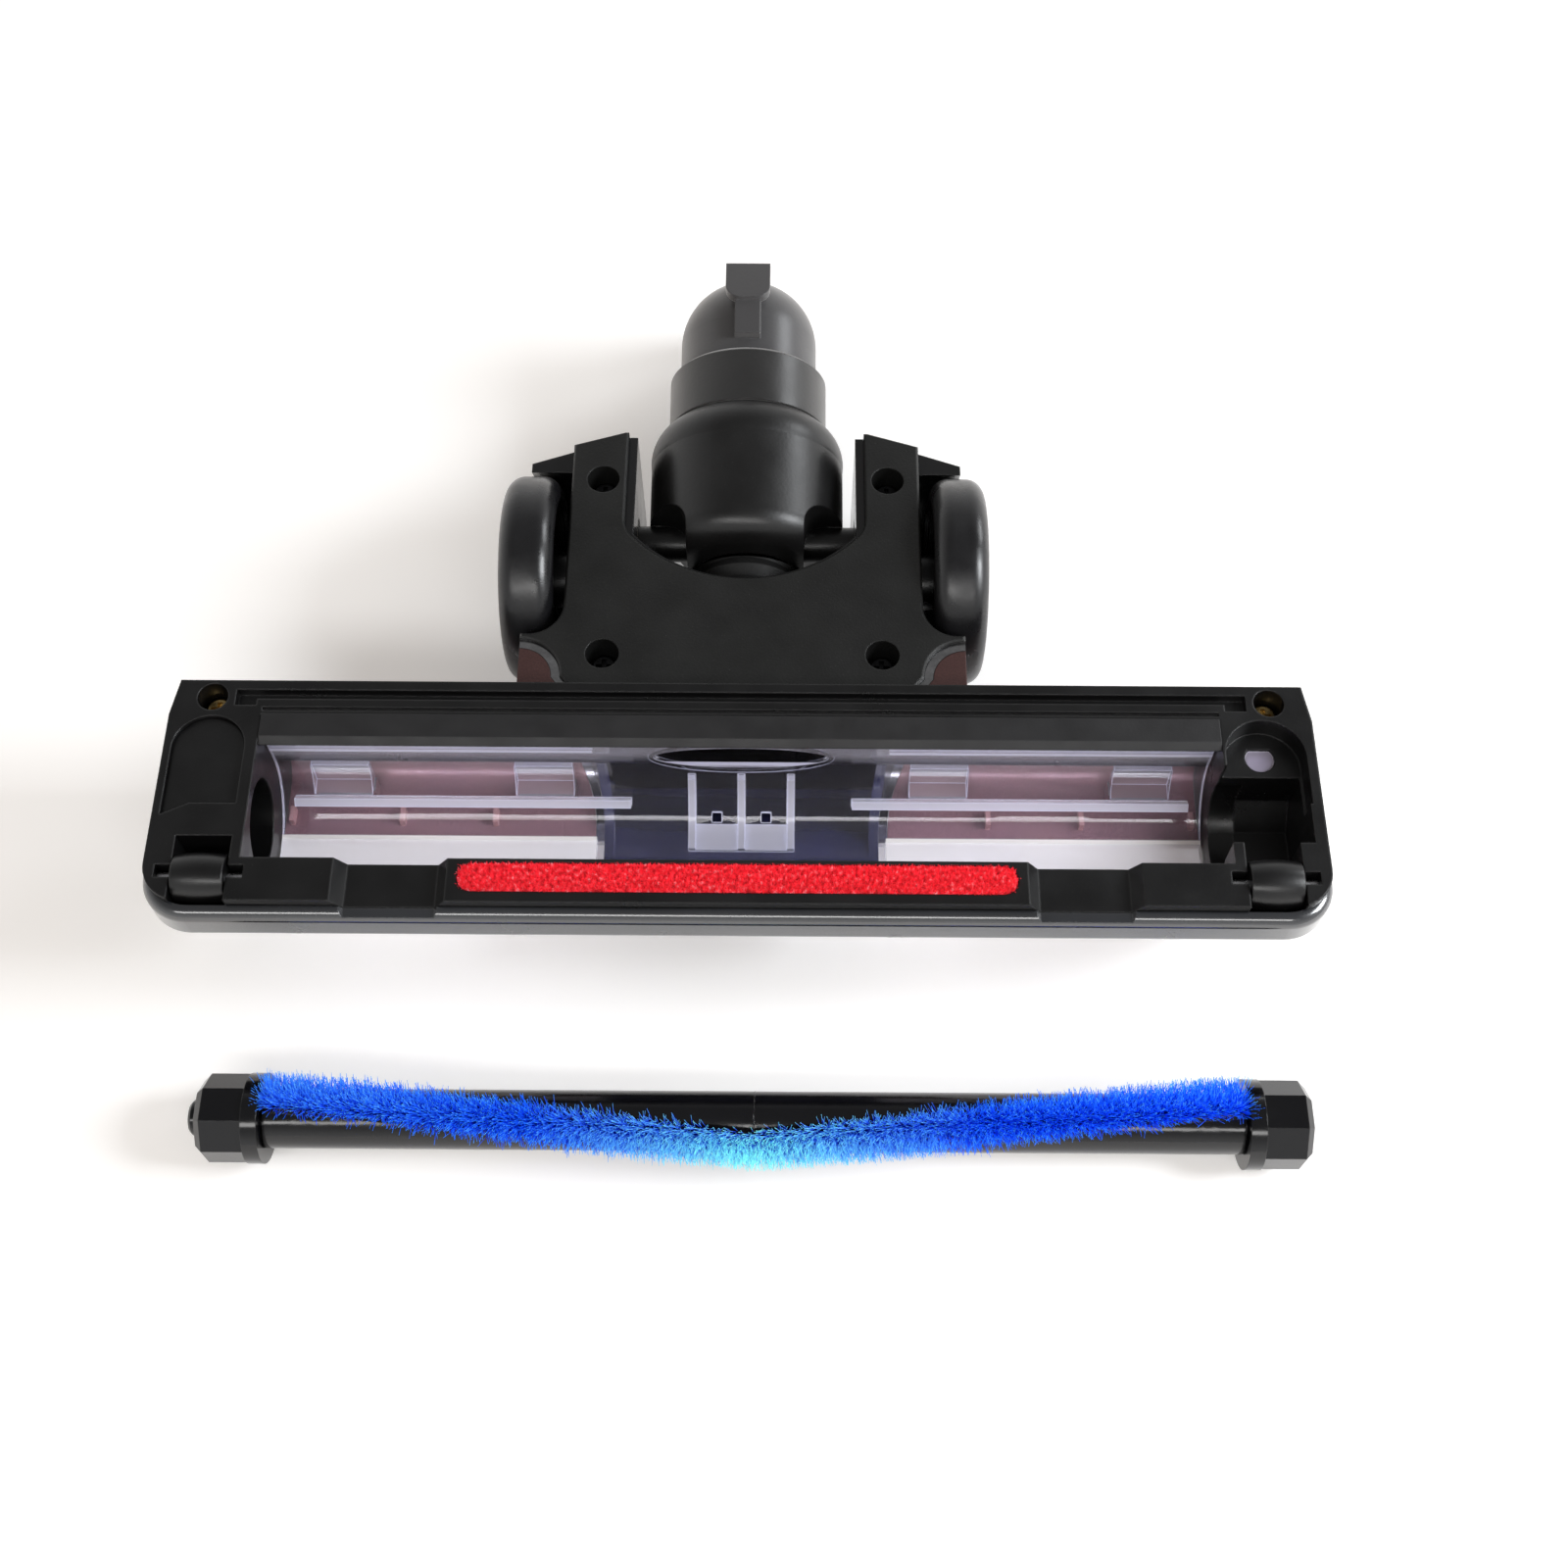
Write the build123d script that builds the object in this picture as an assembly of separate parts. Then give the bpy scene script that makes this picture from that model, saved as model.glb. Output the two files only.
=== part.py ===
import os
from math import atan2, cos, degrees, radians, sin, sqrt

from build123d import *

# A vacuum floor head lying on its back, sole up, with its brush roller laid in front of it.
# X runs to the right, Y to the rear (towards the neck), Z up from the table. Sizes in millimetres.

# Fits
seat_gap = 0.1          # between pieces that are fixed to each other
run_fit = 0.06          # radial play of a turning fit
side_play = 0.4         # end play of a turning piece
cut_over = 1.0          # how far a cut runs past a face

# Head outline
body_height = 52.0      # sole above the table
head_width = 260.0
sole_rear = 25.0
sole_front = -30.4
rear_corner_length = 9.0
rear_corner_width = 1.5
front_corner_radius = 9.0
end_length = 21.0       # end blocks, from the chamber to the head's sides

# Brush chamber
chamber_depth = 13.0    # roller axis below the sole
chamber_mouth_rear = 10.3
chamber_mouth_front = -20.0
chamber_radius = 16.7
chamber_shift = 0.3         # roller axis in front of the mouth's middle
liner_wall = 1.8
liner_rear_height = 8.9     # rear wall of the trough above the roller axis
liner_front_height = 3.3
liner_rib_height = 2.2
liner_rib_thick = 2.0
liner_rib_angle = -43.4     # place of the long ribs round the trough
liner_rib_inner = 26.0
liner_rib_margin = 3.5
clip_drop = 4.0             # clips on the trough's back, below the roller axis
clip_height = 8.0
clip_reach = 1.0
bracket_pitch = 11.6
bracket_thick = 1.6
bracket_height = 2.0
bracket_pad = 0.9
bracket_window = 2.2
bracket_start = -84.0       # angles round the trough
bracket_end = -16.0
bracket_pad_end = -62.0
bracket_window_start = -60.0
throat_half_width = 22.0
throat_half_height = 6.2
throat_rise = 2.0           # throat mouth centre above the roller axis
throat_length = 21.4
duct_radius = 16.5
duct_height = 24.4          # duct axis above the table

# Sole frame
bar_depth = 16.0
front_bar_depth = 15.0
front_shelf_depth = 9.4
front_web = 6.3             # thickness of the deep part of the front bar
shelf_top_drop = 2.0        # wiper seat below the sole
shelf_thick = 1.8
wiper_width = 7.7
wiper_proud = 0.4
wiper_overhang = 1.85
ridge_width = 0.8           # behind the wiper
seam_width = 0.9
seam_depth = 0.8
rail_width = 2.2
groove_width = 2.4
groove_depth = 2.5
recess_inset = 1.5          # corner recesses from the chamber's end
recess_length = 4.9
recess_width = 4.1
notch_middle = 76.0
notch_width = 25.0
notch_floor = 20.0
notch_depth = 3.5
lint_half_length = 61.3
lint_width = 7.0
lint_inset = 4.4            # strip centre in front of the chamber edge
lint_slot_depth = 2.5
lint_proud = 1.3
end_wall = 2.8
bay_play = 2.7
cap_outer = 1.75            # left in the end block beside the cap
cap_inner = 2.75
cap_arch = 7.4
cap_front = -6.7
cap_toe = -9.6
cap_recess = 2.1
cap_thick = 0.9
arch_outer = 2.2            # left in the end block beside the arch
arch_inner = 0.6
arch_centre = 7.0
arch_depth = 6.0
window_radius = 3.4
window_flat = 2.4           # flat rear side of the pane from its centre
window_rise = 2.4           # pane's centre behind the arch's
window_depth = 2.0
window_ledge = 0.9
pane_thick = 1.4

# Bumper
bumper_side = 1.0           # stands proud of the head's sides
bumper_seat = 1.2           # step in the frame that it lies in
bumper_front = -33.4
bumper_rear = -22.0
bumper_drop = 2.5
bumper_height = 10.5
bumper_corner = 10.5
bumper_round = 2.6

# Front rollers
front_roller_inset = 12.4
front_roller_y = -23.6
front_roller_radius = 5.6
front_roller_width = 11.5
front_roller_proud = 2.2
front_roller_crown = 0.6
front_pocket_gap = 0.45
front_pocket_rear = -14.8
front_axle_radius = 1.25
front_axle_reach = 3.5
front_slot_rear = -21.9

# Corner screws
corner_screw_inset = 9.35
corner_screw_y = 20.6
corner_well_radius = 3.5
corner_well_depth = 8.0

# Screws
screw_head_radius = 3.2
screw_head_height = 2.2
screw_radius = 1.5
screw_length = 9.0
well_radius = 4.0
cross_width = 1.1
cross_length = 3.8
head_edge = 0.7
cross_depth = 1.0

# Wings, trims and spine
skin = 2.2
liner_gap = 0.4
wing_front = 0.0
wing_round = 12.0
wing_rib_thick = 1.2
wing_rib_height = 2.4
wing_rib_length = 4.0
wing_rib_places = (2.0, 28.2, 50.4)         # from the chamber's end
wing_ledge = (13.6, 4.0, 5.0)
wing_ledge_y = 13.0
wing_ledge_places = (21.7, 69.4)            # from the chamber's end
spine_half = 32.5
spine_turn = 2.0            # where the spine's sides start to flare
foot_inner = 42.7
foot_corner = 30.8
foot_radius = 10.0
foot_tip = 1.6
trim_width = 2.0
hump_rear = 30.0
tail_drop = 8.0

# Rear body
plate_drop = 6.0            # rear plate below the sole
plate_thick = 2.5
plate_edge = 0.5
body_wall = 2.4
wheel_arch_rise = 8.1
arm_inner = 27.3
arm_outer = 42.9
arm_rear = 102.0
arm_rear_slope = 4.0
arm_rear_flat = 3.0
arm_rear_round = 9.0
cradle_bottom = 60.0
cradle_corner = 72.6
plate_inset = 2.1           # the plate's own cradle is wider than the shell's
plate_setback = 1.6
plate_round = 8.0
front_screw_x = 33.0
front_screw_y = 36.6
rear_screw_y = 87.2
plate_well_depth = 8.0
well_wall = 1.2
boss_wall = 2.8
fender_reach = 10.7
fender_gap = 1.3
fender_height = 12.5
fender_slope = 3.0

# Rear wheels
wheel_radius = 25.5
wheel_width = 13.1
wheel_proud = 3.0
wheel_y = 68.3
wheel_gap = 2.8
tyre_thick = 5.0
tyre_round = 4.4
hub_web = 4.0
hub_boss_radius = 7.0
hub_spokes = 6
axle_radius = 3.0
axle_head_radius = 5.0
axle_head_thick = 1.4
axle_depth = 9.0

# Neck
pivot_y = 81.0
pivot_drop = 25.0           # trunnion axis below the sole
neck_rise = 10.0            # barrel axis above the level, in degrees
barrel_radius = 24.5
barrel_front = 8.0
barrel_round = 7.0
barrel_shoulder = 20.0
barrel_end = 30.0
barrel_waist = 14.5
barrel_waist_round = 7.0
barrel_mouth = 12.5
barrel_bulge = 1.2
barrel_funnel = 5.7
barrel_waist_end = 4.0
sleeve_radius = 18.5
sleeve_length = 14.0
snap_height = 0.7
snap_length = 2.2
collar_radius = 20.2
collar_length = 15.0
collar_edge = 1.0
washer_thick = 0.6
washer_inset = 0.8
elbow_radius = 17.6
elbow_wall = 2.4
elbow_reach = 10.4
elbow_bend = 75.0
socket_radius = 16.0
socket_depth = 24.0
trunnion_radius = 4.5
bush_wall = 2.0
bush_length = 4.7
hook_width = 11.3
hook_length = 11.0
hook_thick = 2.4
hook_web = 6.4
hook_rise = 1.6
hook_lean = 80.0            # tongue against the barrel's axis, in degrees
hook_back = 10.2
hook_foot = 6.6
hook_corner = 3.8
hose_radius = 14.2
hose_wall = 1.6
hose_rings = 9
hose_ring_depth = 1.4
hose_play = 0.5

# Brush roller
lay_gap = 19.6              # from the nose to the bristle tips
roller_shift = 3.8
block_length = 10.9
core_radius = 6.75
lip_height = 1.1
lip_width = 1.3
shaft_radius = 2.5
strip_root = 4.3            # foot of the strips from the axis
strip_width = 3.2
strip_tip = 12.5
strip_flare = 8.0
blade_width = 1.9
blade_tip = 9.6
strip_angle = 148.0         # direction of the bristles at the middle, from +Y towards +Z
strip_twist = 78.0          # turn from the middle to each end
flange_radius = 10.2
flange_thick = 3.6
block_flats = 18.4
block_chamfer = 1.6
stub_radius = 4.0
stub_length = 2.6
roller_bush_radius = 5.0
roller_bush_length = 8.0

# Places worked out from the sizes above
sole = body_height
half = head_width / 2
chamber_half = half - end_length
axis_y = (chamber_mouth_rear + chamber_mouth_front) / 2 - chamber_shift
axis_z = sole - chamber_depth
trough_radius = chamber_radius + liner_wall
skin_inner_radius = trough_radius + liner_gap
skin_outer_radius = skin_inner_radius + skin
wing_bottom = axis_z - skin_outer_radius
trough_rear = axis_y + trough_radius
trough_front = axis_y - trough_radius
shelf_bottom = sole - shelf_top_drop - shelf_thick
bar_bottom = sole - bar_depth
front_bottom = sole - front_bar_depth
front_shelf = sole - front_shelf_depth
plate_top = sole - plate_drop
plate_bottom = plate_top - plate_thick
wheel_z = sole + wheel_proud - wheel_radius
wheel_inner = arm_outer + wheel_gap
pivot_z = sole - pivot_drop
core_half = half - end_wall - bay_play - flange_thick - block_length
cap_radius = (end_length - cap_outer - cap_inner) / 2
cap_x = half - cap_outer - cap_radius
arch_radius = (end_length - arch_outer - arch_inner) / 2
arch_x = half - arch_outer - arch_radius
throat_end = axis_y + chamber_radius + throat_length
body_front = sole_rear + seat_gap
arm_middle = (arm_inner + arm_outer) / 2
plate_inner = arm_inner + plate_inset
plate_cradle = cradle_bottom - plate_setback
collar_start = barrel_end + washer_thick
elbow_corner = collar_start + collar_length + elbow_reach
spigot_fall = elbow_bend - neck_rise
corner_z = pivot_z + elbow_corner * sin(radians(neck_rise))
spigot_length = (corner_z - elbow_radius * cos(radians(spigot_fall))) / sin(radians(spigot_fall))
roller_y = bumper_front - lay_gap - strip_tip
roller_z = flange_radius


def polygon(*points):
    return make_face(Polyline(*points, close=True))


def across(face, low, high):
    """A side-view face, drawn as (Y, Z), carried across the head from X low to high."""
    return extrude(Plane.YZ.offset(low) * face, amount=high - low, dir=(1, 0, 0))


def upright(face, low, high):
    """A plan face, drawn as (X, Y), carried from Z low to high."""
    return extrude(Pos(0, 0, low) * face, amount=high - low, dir=(0, 0, 1))


def block(x_low, x_high, y_low, y_high, z_low, z_high):
    middle = Pos((x_low + x_high) / 2, (y_low + y_high) / 2, (z_low + z_high) / 2)
    return middle * Box(x_high - x_low, y_high - y_low, z_high - z_low)


def rod(radius, x_low, x_high, y, z):
    return across(Pos(y, z) * Circle(radius), x_low, x_high)


def post(radius, x, y, z_low, z_high):
    return upright(Pos(x, y) * Circle(radius), z_low, z_high)


def mirrored(right):
    return mirror(right, about=Plane.YZ)


def both(right):
    return right + mirrored(right)


def on_axis(radius, angle):
    """Point at a radius and angle round the chamber's axis, in the side view."""
    turn = radians(angle)
    return axis_y + radius * cos(turn), axis_z + radius * sin(turn)


def sector(inner, outer, start, end):
    """Part of a ring round the chamber's axis, in the side view."""
    middle = (start + end) / 2
    edges = [
        ThreePointArc(on_axis(outer, start), on_axis(outer, middle), on_axis(outer, end)),
        Line(on_axis(outer, end), on_axis(inner, end)),
        ThreePointArc(on_axis(inner, end), on_axis(inner, middle), on_axis(inner, start)),
        Line(on_axis(inner, start), on_axis(outer, start)),
    ]
    return make_face(edges)


def octagon(flats):
    return RegularPolygon(flats / 2, 8, major_radius=False, rotation=22.5)


def screw(x, y, seat):
    """Pan-head screw, its head standing on seat, with a cross recess."""
    top = seat + screw_head_height
    body = post(screw_head_radius, x, y, seat, top) + post(screw_radius, x, y, seat - screw_length, seat)
    body = chamfer(body.edges().group_by(Axis.Z)[-1], head_edge)
    for turn in (0, 90):
        arm = Rectangle(cross_length, cross_width, rotation=turn)
        body -= upright(Pos(x, y) * arm, top - cross_depth, top)
    return body


def sole_outline():
    face = polygon(
        (-half, sole_front), (half, sole_front), (half, sole_rear - rear_corner_length),
        (half - rear_corner_width, sole_rear), (rear_corner_width - half, sole_rear),
        (-half, sole_rear - rear_corner_length),
    )
    return fillet(face.vertices().group_by(Axis.Y)[0], front_corner_radius)


def end_profile():
    """Side view of an end block: flat sole, round underside that follows the chamber."""
    front_y = axis_y - sqrt(skin_outer_radius**2 - (axis_z - front_bottom) ** 2)
    round_middle = skin_outer_radius * sqrt(0.5)
    rear_turn = wing_round * (1 - sqrt(0.5))
    edges = [
        Polyline((axis_y, wing_bottom), (sole_rear - wing_round, wing_bottom)),
        ThreePointArc(
            (sole_rear - wing_round, wing_bottom),
            (sole_rear - rear_turn, wing_bottom + rear_turn),
            (sole_rear, wing_bottom + wing_round),
        ),
        Polyline(
            (sole_rear, wing_bottom + wing_round), (sole_rear, sole), (sole_front, sole),
            (sole_front, front_bottom), (front_y, front_bottom),
        ),
        ThreePointArc(
            (front_y, front_bottom), (axis_y - round_middle, axis_z - round_middle), (axis_y, wing_bottom)
        ),
    ]
    return make_face(edges)


def bumper_outline(grow, front, rear, corner):
    face = polygon((-half - grow, rear), (-half - grow, front), (half + grow, front), (half + grow, rear))
    return fillet(face.vertices().group_by(Axis.Y)[0], corner)


def notches(front):
    """Two shallow channels with sloping sides across the front bar."""
    top = notch_width / 2
    floor = notch_floor / 2
    face = polygon((-top, sole + cut_over), (top, sole + cut_over), (top, sole), (floor, sole - notch_depth),
                   (-floor, sole - notch_depth), (-top, sole))
    start = chamber_mouth_front + cut_over
    cut = extrude(Plane.XZ.offset(-start) * face, amount=start - front)
    return both(Pos(notch_middle, 0, 0) * cut)


def throat(shrink):
    """Funnel from the slot in the chamber's rear wall to the round duct."""
    start = Plane((0, axis_y + chamber_radius, axis_z + throat_rise), x_dir=(1, 0, 0), z_dir=(0, 1, 0))
    end = Plane((0, throat_end, duct_height), x_dir=(1, 0, 0), z_dir=(0, 1, 0))
    mouth = start * Ellipse(throat_half_width - shrink, throat_half_height - shrink)
    return loft([mouth, end * Circle(duct_radius - shrink)])


def roller_bay(flats, flange, low, high):
    """Room for a roller end: eight-sided seat and a round slot for its flange."""
    slot_end = core_half + flange_thick + bay_play / 2
    seat = across(Pos(axis_y, axis_z) * octagon(flats), low, high)
    return seat + rod(flange, low, slot_end, axis_y, axis_z)


def cap_face(shrink):
    """D-shaped plan of the left bay's cover, drawn on the right side."""
    x = cap_x
    radius = cap_radius - shrink
    front = cap_front + shrink
    edges = [
        Polyline((x + radius, cap_arch), (x + radius, cap_toe + 2 * shrink), (x + radius / 4, front),
                 (x - radius, front), (x - radius, cap_arch)),
        ThreePointArc((x - radius, cap_arch), (x, cap_arch + radius), (x + radius, cap_arch)),
    ]
    return make_face(edges)


def arch_face():
    """Arched plan of the step behind the open right bay."""
    inner = arch_x - arch_radius
    outer = arch_x + arch_radius
    edges = [
        Polyline((inner, arch_centre), (inner, axis_y), (outer, axis_y), (outer, arch_centre)),
        ThreePointArc((outer, arch_centre), (arch_x, arch_centre + arch_radius), (inner, arch_centre)),
    ]
    return make_face(edges)


def window_face(shrink):
    """D-shaped plan of the small pane in the floor of the arch."""
    wide = 4 * window_radius
    front = Pos(0, window_flat - shrink - wide / 2) * Rectangle(wide, wide)
    return Pos(arch_x, arch_centre + window_rise) * (Circle(window_radius - shrink) & front)


def front_pocket():
    """Room for a front roller, and slots for its axle pin."""
    x = half - front_roller_inset
    wide = front_roller_width / 2 + front_pocket_gap
    axis = sole + front_roller_proud - front_roller_radius
    floor = axis - front_roller_radius - front_pocket_gap
    room = block(x - wide, x + wide, sole_front - cut_over, front_pocket_rear, floor, sole + cut_over)
    reach = wide + front_axle_reach
    front = front_roller_y - front_axle_radius - seat_gap
    slot_floor = axis - front_axle_radius - seat_gap
    return room + block(x - reach, x + reach, front, front_slot_rear, slot_floor, sole + cut_over)


def make_sole_frame():
    bars = upright(sole_outline(), bar_bottom, sole)
    rear_web = trough_rear + liner_gap
    bars -= block(-chamber_half, chamber_half, chamber_mouth_front, chamber_mouth_rear, 0, sole + cut_over)
    bars -= block(-chamber_half, chamber_half, 0, rear_web, 0, shelf_bottom)
    bars -= block(-chamber_half, chamber_half, sole_front - cut_over, 0, 0, front_bottom)
    bars -= block(-chamber_half, chamber_half, sole_front + front_web, 0, 0, front_shelf)
    ends = across(end_profile(), chamber_half, half) & upright(sole_outline(), 0, sole)
    frame = bars + both(ends)
    band = block(-half - cut_over, half + cut_over, sole_front - cut_over, bumper_rear + seat_gap,
                 sole - bumper_drop - bumper_height - seat_gap, sole - bumper_drop + seat_gap)
    core = bumper_outline(-bumper_seat, sole_front, bumper_rear + cut_over, front_corner_radius)
    frame -= band - upright(core, 0, sole)
    wiper_rear = chamber_mouth_rear - wiper_overhang + wiper_width + seat_gap
    frame -= block(-chamber_half, chamber_half, 0, wiper_rear, sole - shelf_top_drop, sole + cut_over)
    seam = wiper_rear + ridge_width
    frame -= block(-chamber_half, chamber_half, seam, seam + seam_width, sole - seam_depth, sole + cut_over)
    groove = seam + seam_width + rail_width
    groove_rear = groove + groove_width
    recess_end = chamber_half + recess_inset + recess_length
    frame -= block(-recess_end, recess_end, groove, groove_rear, sole - groove_depth, sole + cut_over)
    frame -= both(block(chamber_half + recess_inset, recess_end, groove_rear - recess_width, groove_rear,
                        sole - groove_depth, sole + cut_over))
    frame -= notches(sole_front - cut_over)
    strip = Pos(0, chamber_mouth_front - lint_inset) * SlotOverall(2 * lint_half_length, lint_width)
    frame -= upright(strip, sole - lint_slot_depth, sole + cut_over)
    frame -= both(front_pocket())
    screw_x = half - corner_screw_inset
    seat = sole - corner_well_depth
    well = post(corner_well_radius, screw_x, corner_screw_y, seat, sole + cut_over)
    well += post(screw_radius + seat_gap, screw_x, corner_screw_y, seat - screw_length - cut_over, sole)
    frame -= both(well)
    frame -= throat(-liner_gap)
    seat_end = half - end_wall
    bay_flats = block_flats + bay_play / 3
    bay = roller_bay(bay_flats, flange_radius + side_play / 2, chamber_half - cut_over, seat_end)
    frame -= mirrored(bay)
    frame -= mirrored(upright(cap_face(0), sole - cap_recess, sole + cut_over))
    frame -= bay + block(chamber_half - cut_over, seat_end, axis_y - bay_flats / 2, axis_y + bay_flats / 2,
                         axis_z, sole + cut_over)
    frame -= upright(arch_face(), sole - arch_depth, sole + cut_over)
    frame -= upright(window_face(0), sole - arch_depth - window_depth, sole)
    return frame - upright(window_face(window_ledge), 0, sole)


def make_bay_window():
    seat = sole - arch_depth - window_depth
    return upright(window_face(seat_gap), seat, seat + pane_thick)


def make_front_bumper():
    low = sole - bumper_drop - bumper_height
    high = sole - bumper_drop
    band = upright(bumper_outline(bumper_side, bumper_front, bumper_rear, bumper_corner), low, high)
    front_edges = band.edges().filter_by(Plane.XY).filter_by(
        lambda edge: edge.center().Y < bumper_rear - cut_over
    )
    band = fillet(front_edges, bumper_round)
    inner = bumper_outline(seat_gap - bumper_seat, sole_front - seat_gap, bumper_rear + cut_over,
                           front_corner_radius)
    band -= upright(inner, low - cut_over, high + cut_over)
    return band - notches(bumper_front - cut_over)


def make_chamber_liner():
    rear_top = axis_z + liner_rear_height
    front_top = axis_z + liner_front_height
    inner_rear = axis_y + chamber_radius
    inner_front = axis_y - chamber_radius
    trough = make_face([
        Polyline((inner_rear, axis_z), (inner_rear, rear_top), (trough_rear, rear_top),
                 (trough_rear, axis_z)),
        ThreePointArc((trough_rear, axis_z), on_axis(trough_radius, -90), (trough_front, axis_z)),
        Polyline((trough_front, axis_z), (trough_front, front_top), (inner_front, front_top),
                 (inner_front, axis_z)),
        ThreePointArc((inner_front, axis_z), on_axis(chamber_radius, -90), (inner_rear, axis_z)),
    ])
    length = chamber_half - liner_gap
    liner = across(trough, -length, length) + throat(0)
    room = Pos(axis_y, axis_z) * Circle(chamber_radius)
    liner -= across(room, -throat_half_width, throat_half_width)
    liner -= throat(liner_wall)
    root = liner_wall / 2
    rib = Rot(0, 0, liner_rib_angle) * Pos(chamber_radius + (root - liner_rib_height) / 2, 0)
    rib = Pos(axis_y, axis_z) * rib * Rectangle(liner_rib_height + root, liner_rib_thick)
    liner += both(across(rib, liner_rib_inner, length - liner_rib_margin))
    for place in wing_ledge_places:
        x = chamber_half - place
        x_end = x + wing_ledge[0]
        clip = block(x, x_end, axis_y + chamber_radius / 2, trough_rear + clip_reach,
                     axis_z - clip_drop - clip_height, axis_z - clip_drop)
        liner += both(clip - rod(chamber_radius + root, x - cut_over, x_end + cut_over, axis_y, axis_z))
    ring = sector(chamber_radius - bracket_height, chamber_radius + root, bracket_start, bracket_end)
    for place in (-bracket_pitch, 0, bracket_pitch):
        liner += across(ring, place - bracket_thick / 2, place + bracket_thick / 2)
    pad = sector(chamber_radius - bracket_pad, chamber_radius + root, bracket_start, bracket_pad_end)
    liner += across(pad, -bracket_pitch, bracket_pitch)
    window_end = bracket_window_start + degrees(bracket_window / chamber_radius)
    hole = sector(chamber_radius - cut_over, trough_radius + cut_over, bracket_window_start, window_end)
    for place in (-bracket_pitch / 2, bracket_pitch / 2):
        liner -= across(hole, place - bracket_window / 2, place + bracket_window / 2)
    return liner


def spine_side(grow):
    """Right side of spine and foot in plan, wider by grow: flare, then round the foot's corner."""
    heel = (foot_inner + grow, foot_corner)
    side = spine_half + grow
    radius = foot_radius - grow
    tip = (foot_inner + foot_radius, foot_corner + radius)
    diagonal = radius * sqrt(0.5)
    return [
        Polyline((0, sole_front), (side, sole_front), (side, spine_turn)),
        TangentArc((side, spine_turn), heel, tangent=(0, 1)),
        ThreePointArc(heel, (tip[0] - diagonal, heel[1] + diagonal), tip),
    ], tip


def spine_plan(grow):
    """Plan that parts the wings and trims from the spine, on the right side."""
    edges, tip = spine_side(grow)
    return make_face(edges + [Polyline(tip, (tip[0], cradle_bottom), (0, cradle_bottom), (0, sole_front))])


def body_plan():
    """Plan of spine and rear body: flaring spine, feet, wheel arches, arms and the cradle between them."""
    edges, tip = spine_side(0)
    arch = (tip[0], tip[1] + foot_tip)
    arm = (arm_outer, arch[1] + wheel_arch_rise)
    rise = cradle_corner - cradle_bottom
    cradle_radius = (arm_inner**2 + rise**2) / (2 * rise)
    turn = atan2(arm_inner, cradle_radius - rise) / 2
    middle = (cradle_radius * sin(turn), cradle_bottom + cradle_radius * (1 - cos(turn)))
    edges += [
        Line(tip, arch),
        TangentArc(arm, arch, tangent=(0, -1)),
        Polyline(arm, (arm_outer, arm_rear - arm_rear_slope), (arm_inner + arm_rear_flat, arm_rear),
                 (arm_inner, arm_rear), (arm_inner, cradle_corner)),
        ThreePointArc((arm_inner, cradle_corner), middle, (0, cradle_bottom)),
        Line((0, cradle_bottom), (0, sole_front)),
    ]
    right = make_face(edges)
    return right + mirror(right, about=Plane.YZ)


def body_profile(wall, floor):
    """Side view of spine and rear body, inside a skin of the given wall and floor thickness."""
    radius = skin_outer_radius - wall
    start_z = front_bottom - seat_gap
    start = (axis_y - sqrt(radius**2 - (axis_z - start_z) ** 2), start_z)
    bottom = (axis_y, axis_z - radius)
    start_angle = degrees(atan2(start_z - axis_z, start[0] - axis_y))
    middle = on_axis(radius, (start_angle - 90) / 2)
    back = arm_rear - floor
    turn = arm_rear_round * (1 - sqrt(0.5))
    top = plate_bottom - seat_gap if not wall else sole
    edges = [
        ThreePointArc(start, middle, bottom),
        Spline(bottom, (hump_rear, floor), tangents=((1, 0), (1, 0))),
        Line((hump_rear, floor), (back - arm_rear_round, floor)),
        ThreePointArc((back - arm_rear_round, floor), (back - turn, floor + turn),
                      (back, floor + arm_rear_round)),
        Polyline((back, floor + arm_rear_round), (back, top), (start[0], top), start),
    ]
    return make_face(edges)


def plate_screw_places():
    right = [(front_screw_x, front_screw_y), (arm_middle, rear_screw_y)]
    return right + [(-x, y) for x, y in right]


def fender():
    """Mudguard round the back of the right wheel, with a sloping gusset to the arm at its top."""
    inner = wheel_radius + fender_gap
    outer = inner + body_wall
    root = arm_outer - body_wall / 2
    end = arm_outer + fender_reach
    ring = Circle(outer) - Circle(inner)
    ring = ring & Pos(outer, fender_height / 2 - outer) * Rectangle(2 * outer, fender_height + 2 * outer)
    guard = across(Pos(wheel_y, wheel_z) * ring, root, end)
    tip = wheel_y + sqrt(outer**2 - fender_height**2)
    plan = polygon((root, wheel_y), (end, wheel_y), (end, tip), (root, arm_rear - fender_slope))
    gusset = upright(plan, wheel_z + fender_height - body_wall, wheel_z + fender_height)
    return guard + (gusset - rod(inner, root - cut_over, end + cut_over, wheel_y, wheel_z))


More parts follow.
